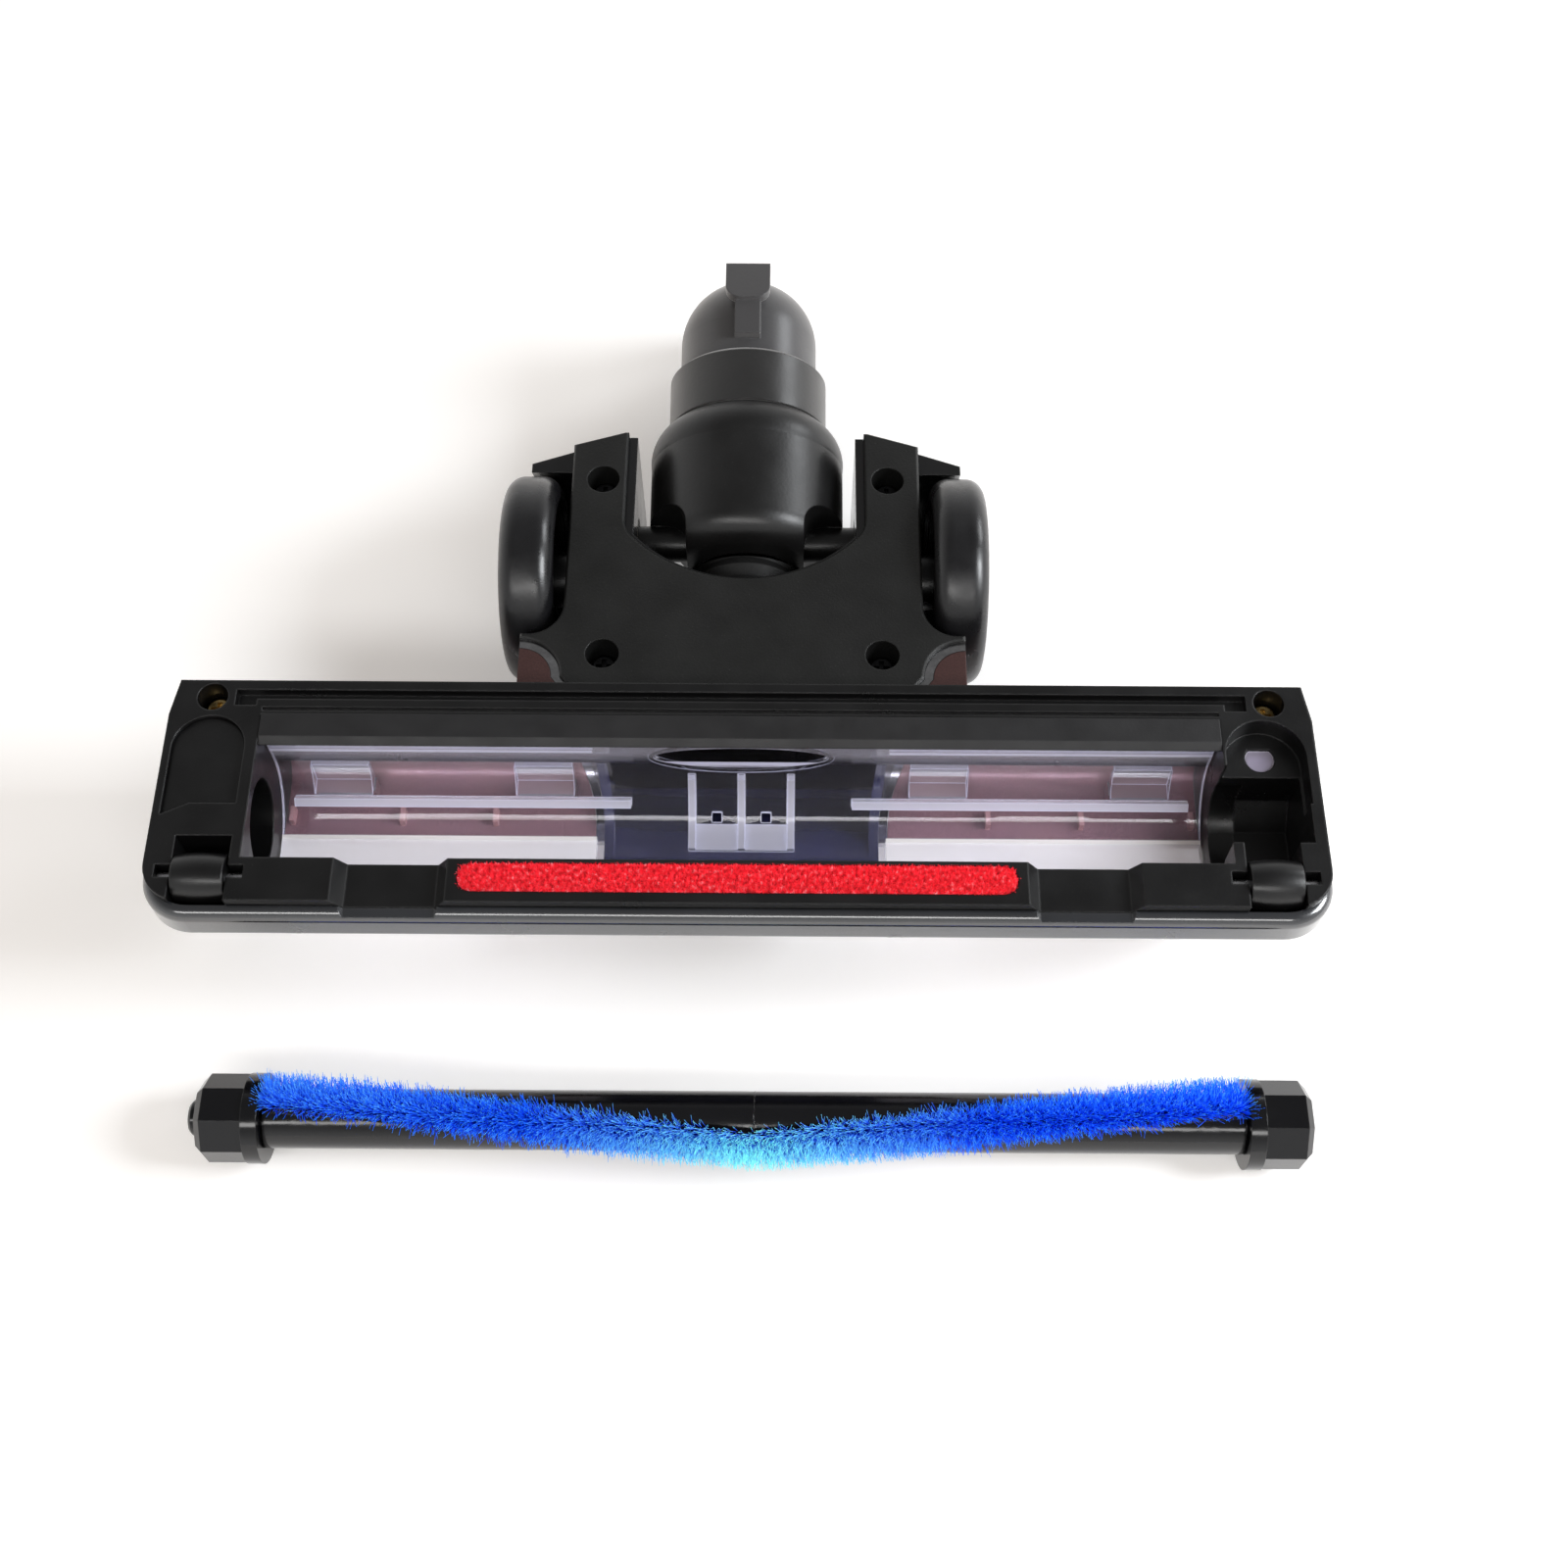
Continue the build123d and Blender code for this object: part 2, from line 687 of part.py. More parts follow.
def make_top_shell():
    wide = head_width
    plan = body_plan()
    shell = across(body_profile(0, 0), -wide, wide) & upright(plan, -cut_over, sole)
    inner = offset(plan, -body_wall, kind=Kind.INTERSECTION)
    shell -= across(body_profile(skin, body_wall), -wide, wide) & upright(inner, 0, sole + cut_over)
    for x, y in plate_screw_places():
        boss_top = plate_top - plate_well_depth - shelf_thick - seat_gap
        shell += post(screw_radius + boss_wall, x, y, body_wall / 2, boss_top)
        shell -= post(screw_radius + seat_gap / 2, x, y, boss_top - screw_length, boss_top + cut_over)
    bush_end = arm_inner + bush_length
    bush_room = trunnion_radius + run_fit + bush_wall + seat_gap / 2
    axle_boss = rod(axle_radius + boss_wall, arm_outer - axle_depth - body_wall, arm_outer, wheel_y, wheel_z)
    bearing = rod(bush_room + body_wall, arm_inner, bush_end, pivot_y, pivot_z)
    shell += both(axle_boss + bearing + fender())
    holes = rod(axle_radius + seat_gap / 2, arm_outer - axle_depth, arm_outer + cut_over, wheel_y, wheel_z)
    holes += rod(bush_room, arm_inner - cut_over, bush_end + body_wall, pivot_y, pivot_z)
    shell -= both(holes)
    hole = Plane((0, cradle_bottom - 3 * body_wall, duct_height), x_dir=(1, 0, 0), z_dir=(0, 1, 0))
    hole_length = cradle_corner - cradle_bottom + 2 * body_wall
    shell -= extrude(hole * Circle(hose_radius + cut_over), amount=hole_length)
    shell -= rod(skin_inner_radius, -wide, wide, axis_y, axis_z)
    shell -= block(-wide, wide, axis_y - skin_inner_radius, axis_y + skin_inner_radius, axis_z, 2 * sole)
    return shell - block(-wide, wide, sole_front - cut_over, body_front, bar_bottom - seat_gap, 2 * sole)


def wing_blank():
    """Right wing and trim together: rounded skin behind the chamber and the tail beside the foot."""
    rear_turn = wing_round * (1 - sqrt(0.5))
    inner_round = wing_round - skin
    inner_turn = skin + inner_round * (1 - sqrt(0.5))
    turn_y = sole_rear - wing_round
    top = bar_bottom - seat_gap
    skin_face = make_face([
        Polyline((wing_front, wing_bottom), (turn_y, wing_bottom)),
        ThreePointArc((turn_y, wing_bottom), (sole_rear - rear_turn, wing_bottom + rear_turn),
                      (sole_rear, wing_bottom + wing_round)),
        Polyline((sole_rear, wing_bottom + wing_round), (sole_rear, top), (sole_rear - skin, top),
                 (sole_rear - skin, wing_bottom + wing_round)),
        ThreePointArc((sole_rear - skin, wing_bottom + wing_round),
                      (sole_rear - inner_turn, wing_bottom + inner_turn), (turn_y, wing_bottom + skin)),
        Polyline((turn_y, wing_bottom + skin), (wing_front, wing_bottom + skin), (wing_front, wing_bottom)),
    ])
    blank = across(skin_face, 0, chamber_half - 2 * seat_gap)
    tip = foot_corner + foot_radius
    tail_top = plate_bottom + plate_thick / 2
    tail = polygon(
        (sole_rear - skin, wing_bottom + skin), (tip, wing_bottom - tail_drop), (tip, tail_top),
        (body_front, tail_top), (body_front, top), (sole_rear - skin, top),
    )
    return blank + across(tail, 0, foot_inner + foot_radius)


def make_wing():
    wing = wing_blank()
    floor = wing_bottom + skin
    for place in wing_rib_places:
        x = chamber_half - place
        wing += block(x - wing_rib_thick / 2, x + wing_rib_thick / 2, wing_front + wing_rib_length,
                      wing_front + 2 * wing_rib_length, floor - skin / 2, floor + wing_rib_height)
    length, depth, height = wing_ledge
    for place in wing_ledge_places:
        x = chamber_half - place
        wing += block(x, x + length, wing_ledge_y - depth / 2, wing_ledge_y + depth / 2,
                      floor - skin / 2, floor + height)
    return wing - upright(spine_plan(trim_width + 2 * seat_gap), 0, sole)


def make_trim():
    outer = upright(spine_plan(trim_width + seat_gap), 0, sole)
    return wing_blank() & (outer - upright(spine_plan(seat_gap), 0, sole))


def plate_opening():
    """Plan of the room for the neck in the rear plate: straight sides that turn into one wide arc."""
    beyond = 2 * arm_rear
    face = make_face([
        ThreePointArc((-plate_inner, cradle_corner), (0, plate_cradle), (plate_inner, cradle_corner)),
        Polyline((plate_inner, cradle_corner), (plate_inner, beyond), (-plate_inner, beyond),
                 (-plate_inner, cradle_corner)),
    ])
    return fillet(face.vertices().group_by(Axis.Y)[0], plate_round)


def make_rear_plate():
    rear = Pos(0, (body_front + arm_rear) / 2) * Rectangle(head_width, arm_rear - body_front)
    plate = upright((body_plan() & rear) - plate_opening(), plate_bottom, plate_top)
    plate = chamfer(plate.faces().sort_by(Axis.Z)[-1].edges(), plate_edge)
    for x, y in plate_screw_places():
        seat = plate_top - plate_well_depth
        plate += post(well_radius + well_wall, x, y, seat - shelf_thick, plate_bottom)
        plate -= post(well_radius, x, y, seat, plate_top + cut_over)
        plate -= post(screw_radius + seat_gap / 2, x, y, seat - shelf_thick - cut_over, seat + cut_over)
    return plate


def make_plate_screws():
    screws = [screw(x, y, plate_top - plate_well_depth) for x, y in plate_screw_places()]
    return Part() + screws


def make_corner_screws():
    right = screw(half - corner_screw_inset, corner_screw_y, sole - corner_well_depth)
    return Part() + [right, mirrored(right)]


def make_left_end_cap():
    seat = sole - cap_recess
    return mirrored(upright(cap_face(seat_gap), seat, seat + cap_thick))


def make_lint_strip():
    strip = Pos(0, chamber_mouth_front - lint_inset)
    strip = strip * SlotOverall(2 * (lint_half_length - seat_gap), lint_width - 2 * seat_gap)
    return upright(strip, sole - lint_slot_depth, sole + lint_proud)


def make_rear_wiper():
    front = chamber_mouth_rear - wiper_overhang
    low = sole - shelf_top_drop
    high = sole + wiper_proud
    face = polygon((front, (low + high) / 2), (front + wiper_overhang, low), (front + wiper_width, low),
                   (front + wiper_width, high), (front + wiper_overhang, high))
    return across(face, seat_gap - chamber_half, chamber_half - seat_gap)


def turned(face, y, z):
    """A face drawn as (X, radius), turned round an axis along X."""
    return Pos(0, y, z) * revolve(face, Axis.X)


def make_front_roller():
    x = half - front_roller_inset
    end = front_roller_width / 2
    bore = front_axle_radius + run_fit
    shoulder = front_roller_radius - front_roller_crown
    face = make_face([
        Polyline((x + end, shoulder), (x + end, bore), (x - end, bore), (x - end, shoulder)),
        ThreePointArc((x - end, shoulder), (x, front_roller_radius), (x + end, shoulder)),
    ])
    return turned(face, front_roller_y, sole + front_roller_proud - front_roller_radius)


def make_front_axle():
    x = half - front_roller_inset
    reach = front_roller_width / 2 + front_pocket_gap + front_axle_reach - seat_gap
    return rod(front_axle_radius, x - reach, x + reach, front_roller_y,
               sole + front_roller_proud - front_roller_radius)


def make_wheel_hub():
    rim = wheel_radius - tyre_thick - seat_gap
    middle = wheel_inner + wheel_width / 2
    boss_start = arm_outer + side_play
    boss_end = middle + hub_web
    bore = axle_radius + run_fit
    face = polygon((boss_start, bore), (boss_end, bore), (boss_end, hub_boss_radius),
                   (boss_start, hub_boss_radius))
    web = Pos(middle, (bore + rim) / 2) * Rectangle(hub_web, rim - bore)
    ring = Pos(middle, rim - hub_web / 4) * Rectangle(wheel_width - hub_web / 2, hub_web / 2)
    hub = turned(face + web + ring, wheel_y, wheel_z)
    rib = block(middle - hub_web, middle + hub_web, -hub_web / 4, hub_web / 4,
                hub_boss_radius - cut_over, rim - cut_over)
    for turn in range(hub_spokes):
        hub += Pos(0, wheel_y, wheel_z) * Rot(360 * turn / hub_spokes, 0, 0) * rib
    return hub


def make_tyre():
    middle = Pos(wheel_inner + wheel_width / 2, wheel_radius - tyre_thick / 2)
    face = middle * Rectangle(wheel_width, tyre_thick)
    outer = face.vertices().group_by(Axis.Y)[-1]
    return turned(fillet(outer, tyre_round), wheel_y, wheel_z)


def make_wheel_axle():
    head = wheel_inner + wheel_width / 2 + hub_web + side_play
    pin = rod(axle_radius, arm_outer - axle_depth + seat_gap, head, wheel_y, wheel_z)
    cap = rod(axle_head_radius, head, head + axle_head_thick, wheel_y, wheel_z)
    return pin + chamfer(cap.edges().group_by(Axis.X)[-1], axle_head_thick / 3)


# The neck is drawn with the barrel's axis along Z and the trunnions at the origin, then tilted into place.
neck_place = Pos(0, pivot_y, pivot_z) * Rot(neck_rise - 90, 0, 0)
sleeve_start = barrel_end - sleeve_length
snap_end = sleeve_start - side_play


def lathe(*edges):
    """A face drawn as (radius, height), turned round Z."""
    return revolve(Plane.XZ * make_face(list(edges)), Axis.Z)


def make_neck_barrel():
    rim = collar_radius + seat_gap
    relief = sleeve_radius + snap_height + side_play
    relief_start = snap_end - snap_length - cut_over
    throat_start = relief_start - barrel_funnel
    turn = barrel_round * (1 - sqrt(0.5))
    bulge = ((barrel_radius + rim) / 2 + barrel_bulge, (barrel_shoulder + barrel_end) / 2 + barrel_bulge)
    body = lathe(
        Line((barrel_mouth, -barrel_front), (barrel_radius - barrel_round, -barrel_front)),
        ThreePointArc((barrel_radius - barrel_round, -barrel_front),
                      (barrel_radius - turn, turn - barrel_front),
                      (barrel_radius, barrel_round - barrel_front)),
        Line((barrel_radius, barrel_round - barrel_front), (barrel_radius, barrel_shoulder)),
        ThreePointArc((barrel_radius, barrel_shoulder), bulge, (rim, barrel_end)),
        Polyline((rim, barrel_end), (sleeve_radius + run_fit, barrel_end),
                 (sleeve_radius + run_fit, sleeve_start), (relief, sleeve_start), (relief, relief_start),
                 (barrel_mouth, throat_start),
                 (barrel_mouth, -barrel_front)),
    )
    wide = 2 * barrel_radius
    side = block(barrel_waist, wide, -wide, wide, -2 * barrel_front, barrel_waist_end)
    corner = side.edges().filter_by(Axis.Y).group_by(Axis.X)[0].sort_by(Axis.Z)[-1]
    side = fillet(corner, barrel_waist_round)
    body -= both(side)
    pin = across(Circle(trunnion_radius), barrel_waist - cut_over, arm_inner + bush_length - side_play)
    body += both(pin)
    return neck_place * body


def bend(radius, start, length):
    """Straight run from start to the corner, round corner, and the spigot's run, all of one radius."""
    corner = Pos(0, 0, elbow_corner)
    outside = Circle(radius) & Pos(0, -radius) * Rectangle(2 * radius, 2 * radius)
    run = Pos(0, 0, (start + elbow_corner) / 2) * Cylinder(radius, elbow_corner - start)
    spigot = corner * Rot(-elbow_bend, 0, 0) * Pos(0, 0, length / 2) * Cylinder(radius, length)
    return run + corner * revolve(outside, Axis((0, 0, 0), (-1, 0, 0)), elbow_bend) + spigot


def make_neck_elbow():
    bore = elbow_radius - elbow_wall
    collar_end = collar_start + collar_length
    sleeve_end = snap_end - snap_length
    body = lathe(
        Polyline((0, sleeve_end), (sleeve_radius + snap_height, sleeve_end),
                 (sleeve_radius + snap_height, snap_end), (sleeve_radius, snap_end),
                 (sleeve_radius, collar_start), (collar_radius, collar_start),
                 (collar_radius, collar_end - collar_edge),
                 (collar_radius - collar_edge, collar_end), (0, collar_end), (0, sleeve_end)),
    )
    body += bend(elbow_radius, collar_start, spigot_length)
    body += Pos(0, 0, elbow_corner) * Rot(hook_lean, 0, 0) * parking_hook()
    body -= bend(bore, sleeve_end - cut_over, spigot_length + cut_over)
    socket = Pos(0, 0, spigot_length - socket_depth / 2) * Cylinder(socket_radius, socket_depth)
    body -= Pos(0, 0, elbow_corner) * Rot(-elbow_bend, 0, 0) * socket
    return neck_place * body


def parking_hook():
    """T-shaped tongue on a web, on the outside of the bend, drawn from the bend's centre."""
    low = elbow_radius + hook_rise
    front = hook_back - hook_length
    tongue = block(-hook_width / 2, hook_width / 2, front, hook_back, low, low + hook_thick)
    tongue = fillet(tongue.edges().filter_by(Axis.Z).group_by(Axis.Y)[0], hook_corner)
    rise = radians(90 - hook_lean)
    root = elbow_radius - elbow_wall / 2
    tip = elbow_radius + hook_thick
    web = polygon(
        (-hook_foot * cos(rise) - root * sin(rise), root * cos(rise) - hook_foot * sin(rise)),
        (-hook_foot * cos(rise) - tip * sin(rise), tip * cos(rise) - hook_foot * sin(rise)),
        (front, low + hook_thick / 2), (hook_back - hook_thick, low + hook_thick / 2),
        (hook_back - hook_thick, root * cos(rise)),
    )
    return tongue + across(web, -hook_web / 2, hook_web / 2)


def make_swivel_washer():
    inner = sleeve_radius + run_fit
    outer = collar_radius - washer_inset
    low = barrel_end + run_fit / 2
    high = collar_start - run_fit / 2
    return neck_place * lathe(Polyline((inner, low), (outer, low), (outer, high), (inner, high), close=True))


def make_neck_bush():
    inner = trunnion_radius + run_fit
    face = Circle(inner + bush_wall) - Circle(inner)
    return across(Pos(pivot_y, pivot_z) * face, arm_inner, arm_inner + bush_length)


def make_duct_hose():
    """Corrugated hose from the funnel to the barrel, its end cut square to the barrel."""
    start = throat_end + seat_gap
    length = pivot_y - start
    pitch = length / hose_rings
    valley = hose_radius - hose_ring_depth
    inner = valley - hose_wall
    points = [(inner, 0), (valley, 0)]
    for ring in range(hose_rings):
        points.append((hose_radius, (ring + 0.5) * pitch))
        points.append((valley, (ring + 1) * pitch))
    points.append((inner, length))
    hose = Pos(0, start, duct_height) * Rot(-90, 0, 0) * lathe(Polyline(*points, close=True))
    beyond = 4 * barrel_radius
    return hose - neck_place * Pos(0, 0, beyond / 2 - barrel_front - hose_play) * Box(beyond, beyond, beyond)


# The roller is drawn round the X axis with its seam at the origin, then laid in front of the head.
roller_place = Pos(roller_shift, roller_y, roller_z)


def core_section():
    """Round core with a slot and two lips for the bristles, and a narrower pair opposite for the blade."""
    face = Circle(core_radius)
    for side, width in ((1, strip_width), (-1, blade_width)):
        lip = core_radius + lip_height
        for edge in (-1, 1):
            y = edge * (width / 2 + seat_gap + lip_width / 2)
            face += Pos(side * lip / 2, y) * Rectangle(lip, lip_width)
        slot = Rectangle(2 * core_radius, width + 2 * seat_gap)
        face -= Pos(side * (strip_root - seat_gap + core_radius), 0) * slot
    return face - Circle(shaft_radius + seat_gap / 2)


def bristle_section():
    root = core_radius + lip_height
    wide = strip_width / 2
    return polygon((strip_root, -wide), (root, -wide), (strip_tip, -strip_flare / 2),
                   (strip_tip, strip_flare / 2), (root, wide), (strip_root, wide))


def blade_section():
    return Pos(-(strip_root + blade_tip) / 2, 0) * Rectangle(blade_tip - strip_root, blade_width)


def twisted(section, gap):
    """A section of the roller's right half, turning steadily from the seam to the end."""
    face = (Rot(0, 0, strip_angle) * section).faces()[0]
    length = core_half - 2 * gap
    solid = Solid.extrude_linear_with_rotation(face, (0, 0, 0), (0, 0, length), -strip_twist)
    return Plane.YZ.offset(gap) * Part(solid.wrapped)


def make_end_block():
    start = core_half + side_play
    flange = rod(flange_radius, start, start + flange_thick, 0, 0)
    end = start + flange_thick + block_length
    body = across(octagon(block_flats), start + flange_thick, end)
    body = flange + chamfer(body.faces().sort_by(Axis.X)[-1].edges(), block_chamfer)
    bush_end = start + roller_bush_length + seat_gap
    return body - rod(roller_bush_radius + seat_gap / 2, start - cut_over, bush_end, 0, 0)


def make_roller_bush():
    start = core_half + side_play
    face = Circle(roller_bush_radius) - Circle(shaft_radius + run_fit)
    return across(face, start, start + roller_bush_length)


def make_roller_shaft():
    end = core_half + side_play + roller_bush_length - side_play
    return rod(shaft_radius, -end, end, 0, 0)


def make_stub():
    end = core_half + side_play + flange_thick + block_length
    stub = rod(stub_radius, end, end + stub_length, 0, 0)
    return chamfer(stub.edges().group_by(Axis.X)[-1], stub_length / 4)


parts = {
    "sole_frame": make_sole_frame(),
    "front_bumper": make_front_bumper(),
    "chamber_liner": make_chamber_liner(),
    "top_shell": make_top_shell(),
    "rear_plate": make_rear_plate(),
    "left_end_cap": make_left_end_cap(),
    "bay_window": make_bay_window(),
    "lint_strip": make_lint_strip(),
    "rear_wiper": make_rear_wiper(),
    "plate_screws": make_plate_screws(),
    "corner_screws": make_corner_screws(),
    "neck_barrel": make_neck_barrel(),
    "neck_elbow": make_neck_elbow(),
    "swivel_washer": make_swivel_washer(),
    "duct_hose": make_duct_hose(),
    "roller_shaft": roller_place * make_roller_shaft(),
}
pairs = {
    "wing": make_wing(),
    "trim": make_trim(),
    "front_roller": make_front_roller(),
    "front_axle": make_front_axle(),
    "wheel_hub": make_wheel_hub(),
    "tyre": make_tyre(),
    "wheel_axle": make_wheel_axle(),
    "neck_bush": make_neck_bush(),
}
roller_pairs = {
    "roller_core": twisted(core_section(), seat_gap / 2),
    "bristle_strip": twisted(bristle_section(), seat_gap / 2),
    "roller_blade": twisted(blade_section(), seat_gap / 2),
    "end_block": make_end_block(),
    "roller_bush": make_roller_bush(),
}
for name, right in pairs.items():
    parts["right_" + name] = right
    parts["left_" + name] = mirrored(right)
for name, right in roller_pairs.items():
    parts["right_" + name] = roller_place * right
    left = mirrored(right + make_stub()) if name == "end_block" else mirrored(right)
    parts["left_" + name] = roller_place * left

# The part's own frame stands on the table at the middle of the whole outline.
outline = Compound(children=[Part(piece.wrapped) for piece in parts.values()]).bounding_box()
centre = outline.center()
to_frame = Pos(-centre.X, -centre.Y, -outline.min.Z)

os.makedirs("parts", exist_ok=True)
for name, piece in parts.items():
    export_step(to_frame * piece, f"parts/{name}.step")
print("moved by", to_frame.position, "size", outline.size)
print("neck pivot", to_frame * Pos(0, pivot_y, pivot_z), "roller axis", to_frame * roller_place)
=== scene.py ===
import math
import random

import bmesh
import bpy
from mathutils import Matrix, Vector


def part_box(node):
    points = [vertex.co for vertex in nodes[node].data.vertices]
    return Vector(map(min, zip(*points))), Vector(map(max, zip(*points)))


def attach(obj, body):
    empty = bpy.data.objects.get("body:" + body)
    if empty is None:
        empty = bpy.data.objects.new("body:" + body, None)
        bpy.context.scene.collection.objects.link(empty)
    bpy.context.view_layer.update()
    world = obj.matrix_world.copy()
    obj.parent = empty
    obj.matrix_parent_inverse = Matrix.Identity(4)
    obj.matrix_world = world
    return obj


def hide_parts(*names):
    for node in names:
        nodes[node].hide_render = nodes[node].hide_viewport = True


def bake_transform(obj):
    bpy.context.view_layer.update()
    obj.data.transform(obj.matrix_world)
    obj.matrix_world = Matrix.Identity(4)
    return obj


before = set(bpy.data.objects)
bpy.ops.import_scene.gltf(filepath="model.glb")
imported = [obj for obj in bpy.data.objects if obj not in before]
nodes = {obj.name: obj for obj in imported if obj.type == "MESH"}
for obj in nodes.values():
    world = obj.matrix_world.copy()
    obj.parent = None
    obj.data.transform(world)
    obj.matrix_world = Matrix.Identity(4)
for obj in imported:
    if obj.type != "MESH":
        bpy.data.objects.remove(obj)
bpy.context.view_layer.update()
print("frame loaded,", len(nodes), "nodes")

scene = bpy.context.scene
scene.view_settings.view_transform = "Standard"

# Lines that the finishes and the camera are placed by, from the frame
headSizes = {"rearHalf": 0.025, "axisAhead": 0.00515, "axisHeight": 0.039}
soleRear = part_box("sole_frame")[1].y
headLine = soleRear - headSizes["rearHalf"]    # Y of the head's own middle line
troughY = headLine - headSizes["axisAhead"]    # the brush chamber's axis
troughZ = headSizes["axisHeight"]
shaftLow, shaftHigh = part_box("roller_shaft")
rollerLine = (shaftLow + shaftHigh) / 2


# Small helpers for node trees
def newFinish(name):
    finish = bpy.data.materials.new(name)
    finish.use_nodes = True
    tree = finish.node_tree
    return finish, tree, tree.nodes["Principled BSDF"]


def addNode(tree, kind, **values):
    node = tree.nodes.new(kind)
    for key, value in values.items():
        if key in node.inputs:
            node.inputs[key].default_value = value
        else:
            setattr(node, key, value)
    return node


def join(tree, start, end):
    tree.links.new(start, end)


def objectCoords(tree):
    return addNode(tree, "ShaderNodeTexCoord").outputs["Object"]


def splitAxes(tree, vector):
    parts = addNode(tree, "ShaderNodeSeparateXYZ")
    join(tree, vector, parts.inputs["Vector"])
    return parts.outputs["X"], parts.outputs["Y"], parts.outputs["Z"]


def dotOf(tree, first, second):
    node = addNode(tree, "ShaderNodeVectorMath", operation="DOT_PRODUCT")
    for socket, value in zip(node.inputs, (first, second)):
        if isinstance(value, tuple):
            socket.default_value = value
        else:
            join(tree, value, socket)
    return node.outputs["Value"]


def grain(tree, coords, scale, detail=3.0):
    node = addNode(tree, "ShaderNodeTexNoise", Scale=scale, Detail=detail)
    join(tree, coords, node.inputs["Vector"])
    return node.outputs["Fac"]


def stretch(tree, value, low, high, outLow, outHigh):
    node = addNode(tree, "ShaderNodeMapRange")
    node.inputs["From Min"].default_value = low
    node.inputs["From Max"].default_value = high
    node.inputs["To Min"].default_value = outLow
    node.inputs["To Max"].default_value = outHigh
    join(tree, value, node.inputs["Value"])
    return node.outputs["Result"]


def ramp(tree, value, stops):
    node = addNode(tree, "ShaderNodeValToRGB")
    band = node.color_ramp
    while len(band.elements) < len(stops):
        band.elements.new(0.5)
    for element, (spot, color) in zip(band.elements, stops):
        element.position = spot
        element.color = (*color, 1.0)
    join(tree, value, node.inputs["Fac"])
    return node.outputs["Color"]


def maths(tree, operation, first, second=0.0):
    node = addNode(tree, "ShaderNodeMath", operation=operation)
    for socket, value in zip(node.inputs, (first, second)):
        if isinstance(value, float):
            socket.default_value = value
        else:
            join(tree, value, socket)
    return node.outputs["Value"]


def both(tree, first, second):
    return maths(tree, "MULTIPLY", first, second)


def either(tree, first, second):
    return maths(tree, "MAXIMUM", first, second)


def inside(tree, value, low, high):
    return both(tree, maths(tree, "GREATER_THAN", value, low), maths(tree, "LESS_THAN", value, high))


def anyOf(tree, masks):
    total = masks[0]
    for mask in masks[1:]:
        total = maths(tree, "ADD", total, mask)
    return total


def flatCoords(tree, first, second):
    node = addNode(tree, "ShaderNodeCombineXYZ")
    join(tree, first, node.inputs["X"])
    join(tree, second, node.inputs["Y"])
    return node.outputs["Vector"]


def fromAxis(tree, alongY, alongZ):
    return maths(tree, "SQRT", maths(tree, "ADD", both(tree, alongY, alongY), both(tree, alongZ, alongZ)))


def blendColor(tree, factor, first, second):
    node = addNode(tree, "ShaderNodeMix", data_type="RGBA")
    join(tree, factor, node.inputs["Factor"])
    for socket, value in ((node.inputs[6], first), (node.inputs[7], second)):
        if isinstance(value, tuple):
            socket.default_value = (*value, 1.0)
        else:
            join(tree, value, socket)
    return node.outputs[2]


def shades(color, dark, light):
    return tuple(c * dark for c in color), tuple(c * light for c in color)


def bump(tree, height, strength, distance, normal=None):
    node = addNode(tree, "ShaderNodeBump", Strength=strength, Distance=distance)
    join(tree, height, node.inputs["Height"])
    if normal is not None:
        join(tree, normal, node.inputs["Normal"])
    return node.outputs["Normal"]


def roundEdges(tree, radius, samples=4):
    return addNode(tree, "ShaderNodeBevel", samples=samples, Radius=radius).outputs["Normal"]


def paleShadow(tree, shader, share):
    rays = addNode(tree, "ShaderNodeLightPath")
    through = stretch(tree, rays.outputs["Is Shadow Ray"], 0.0, 1.0, 1.0, 1.0 - share)
    join(tree, through, shader.inputs["Alpha"])


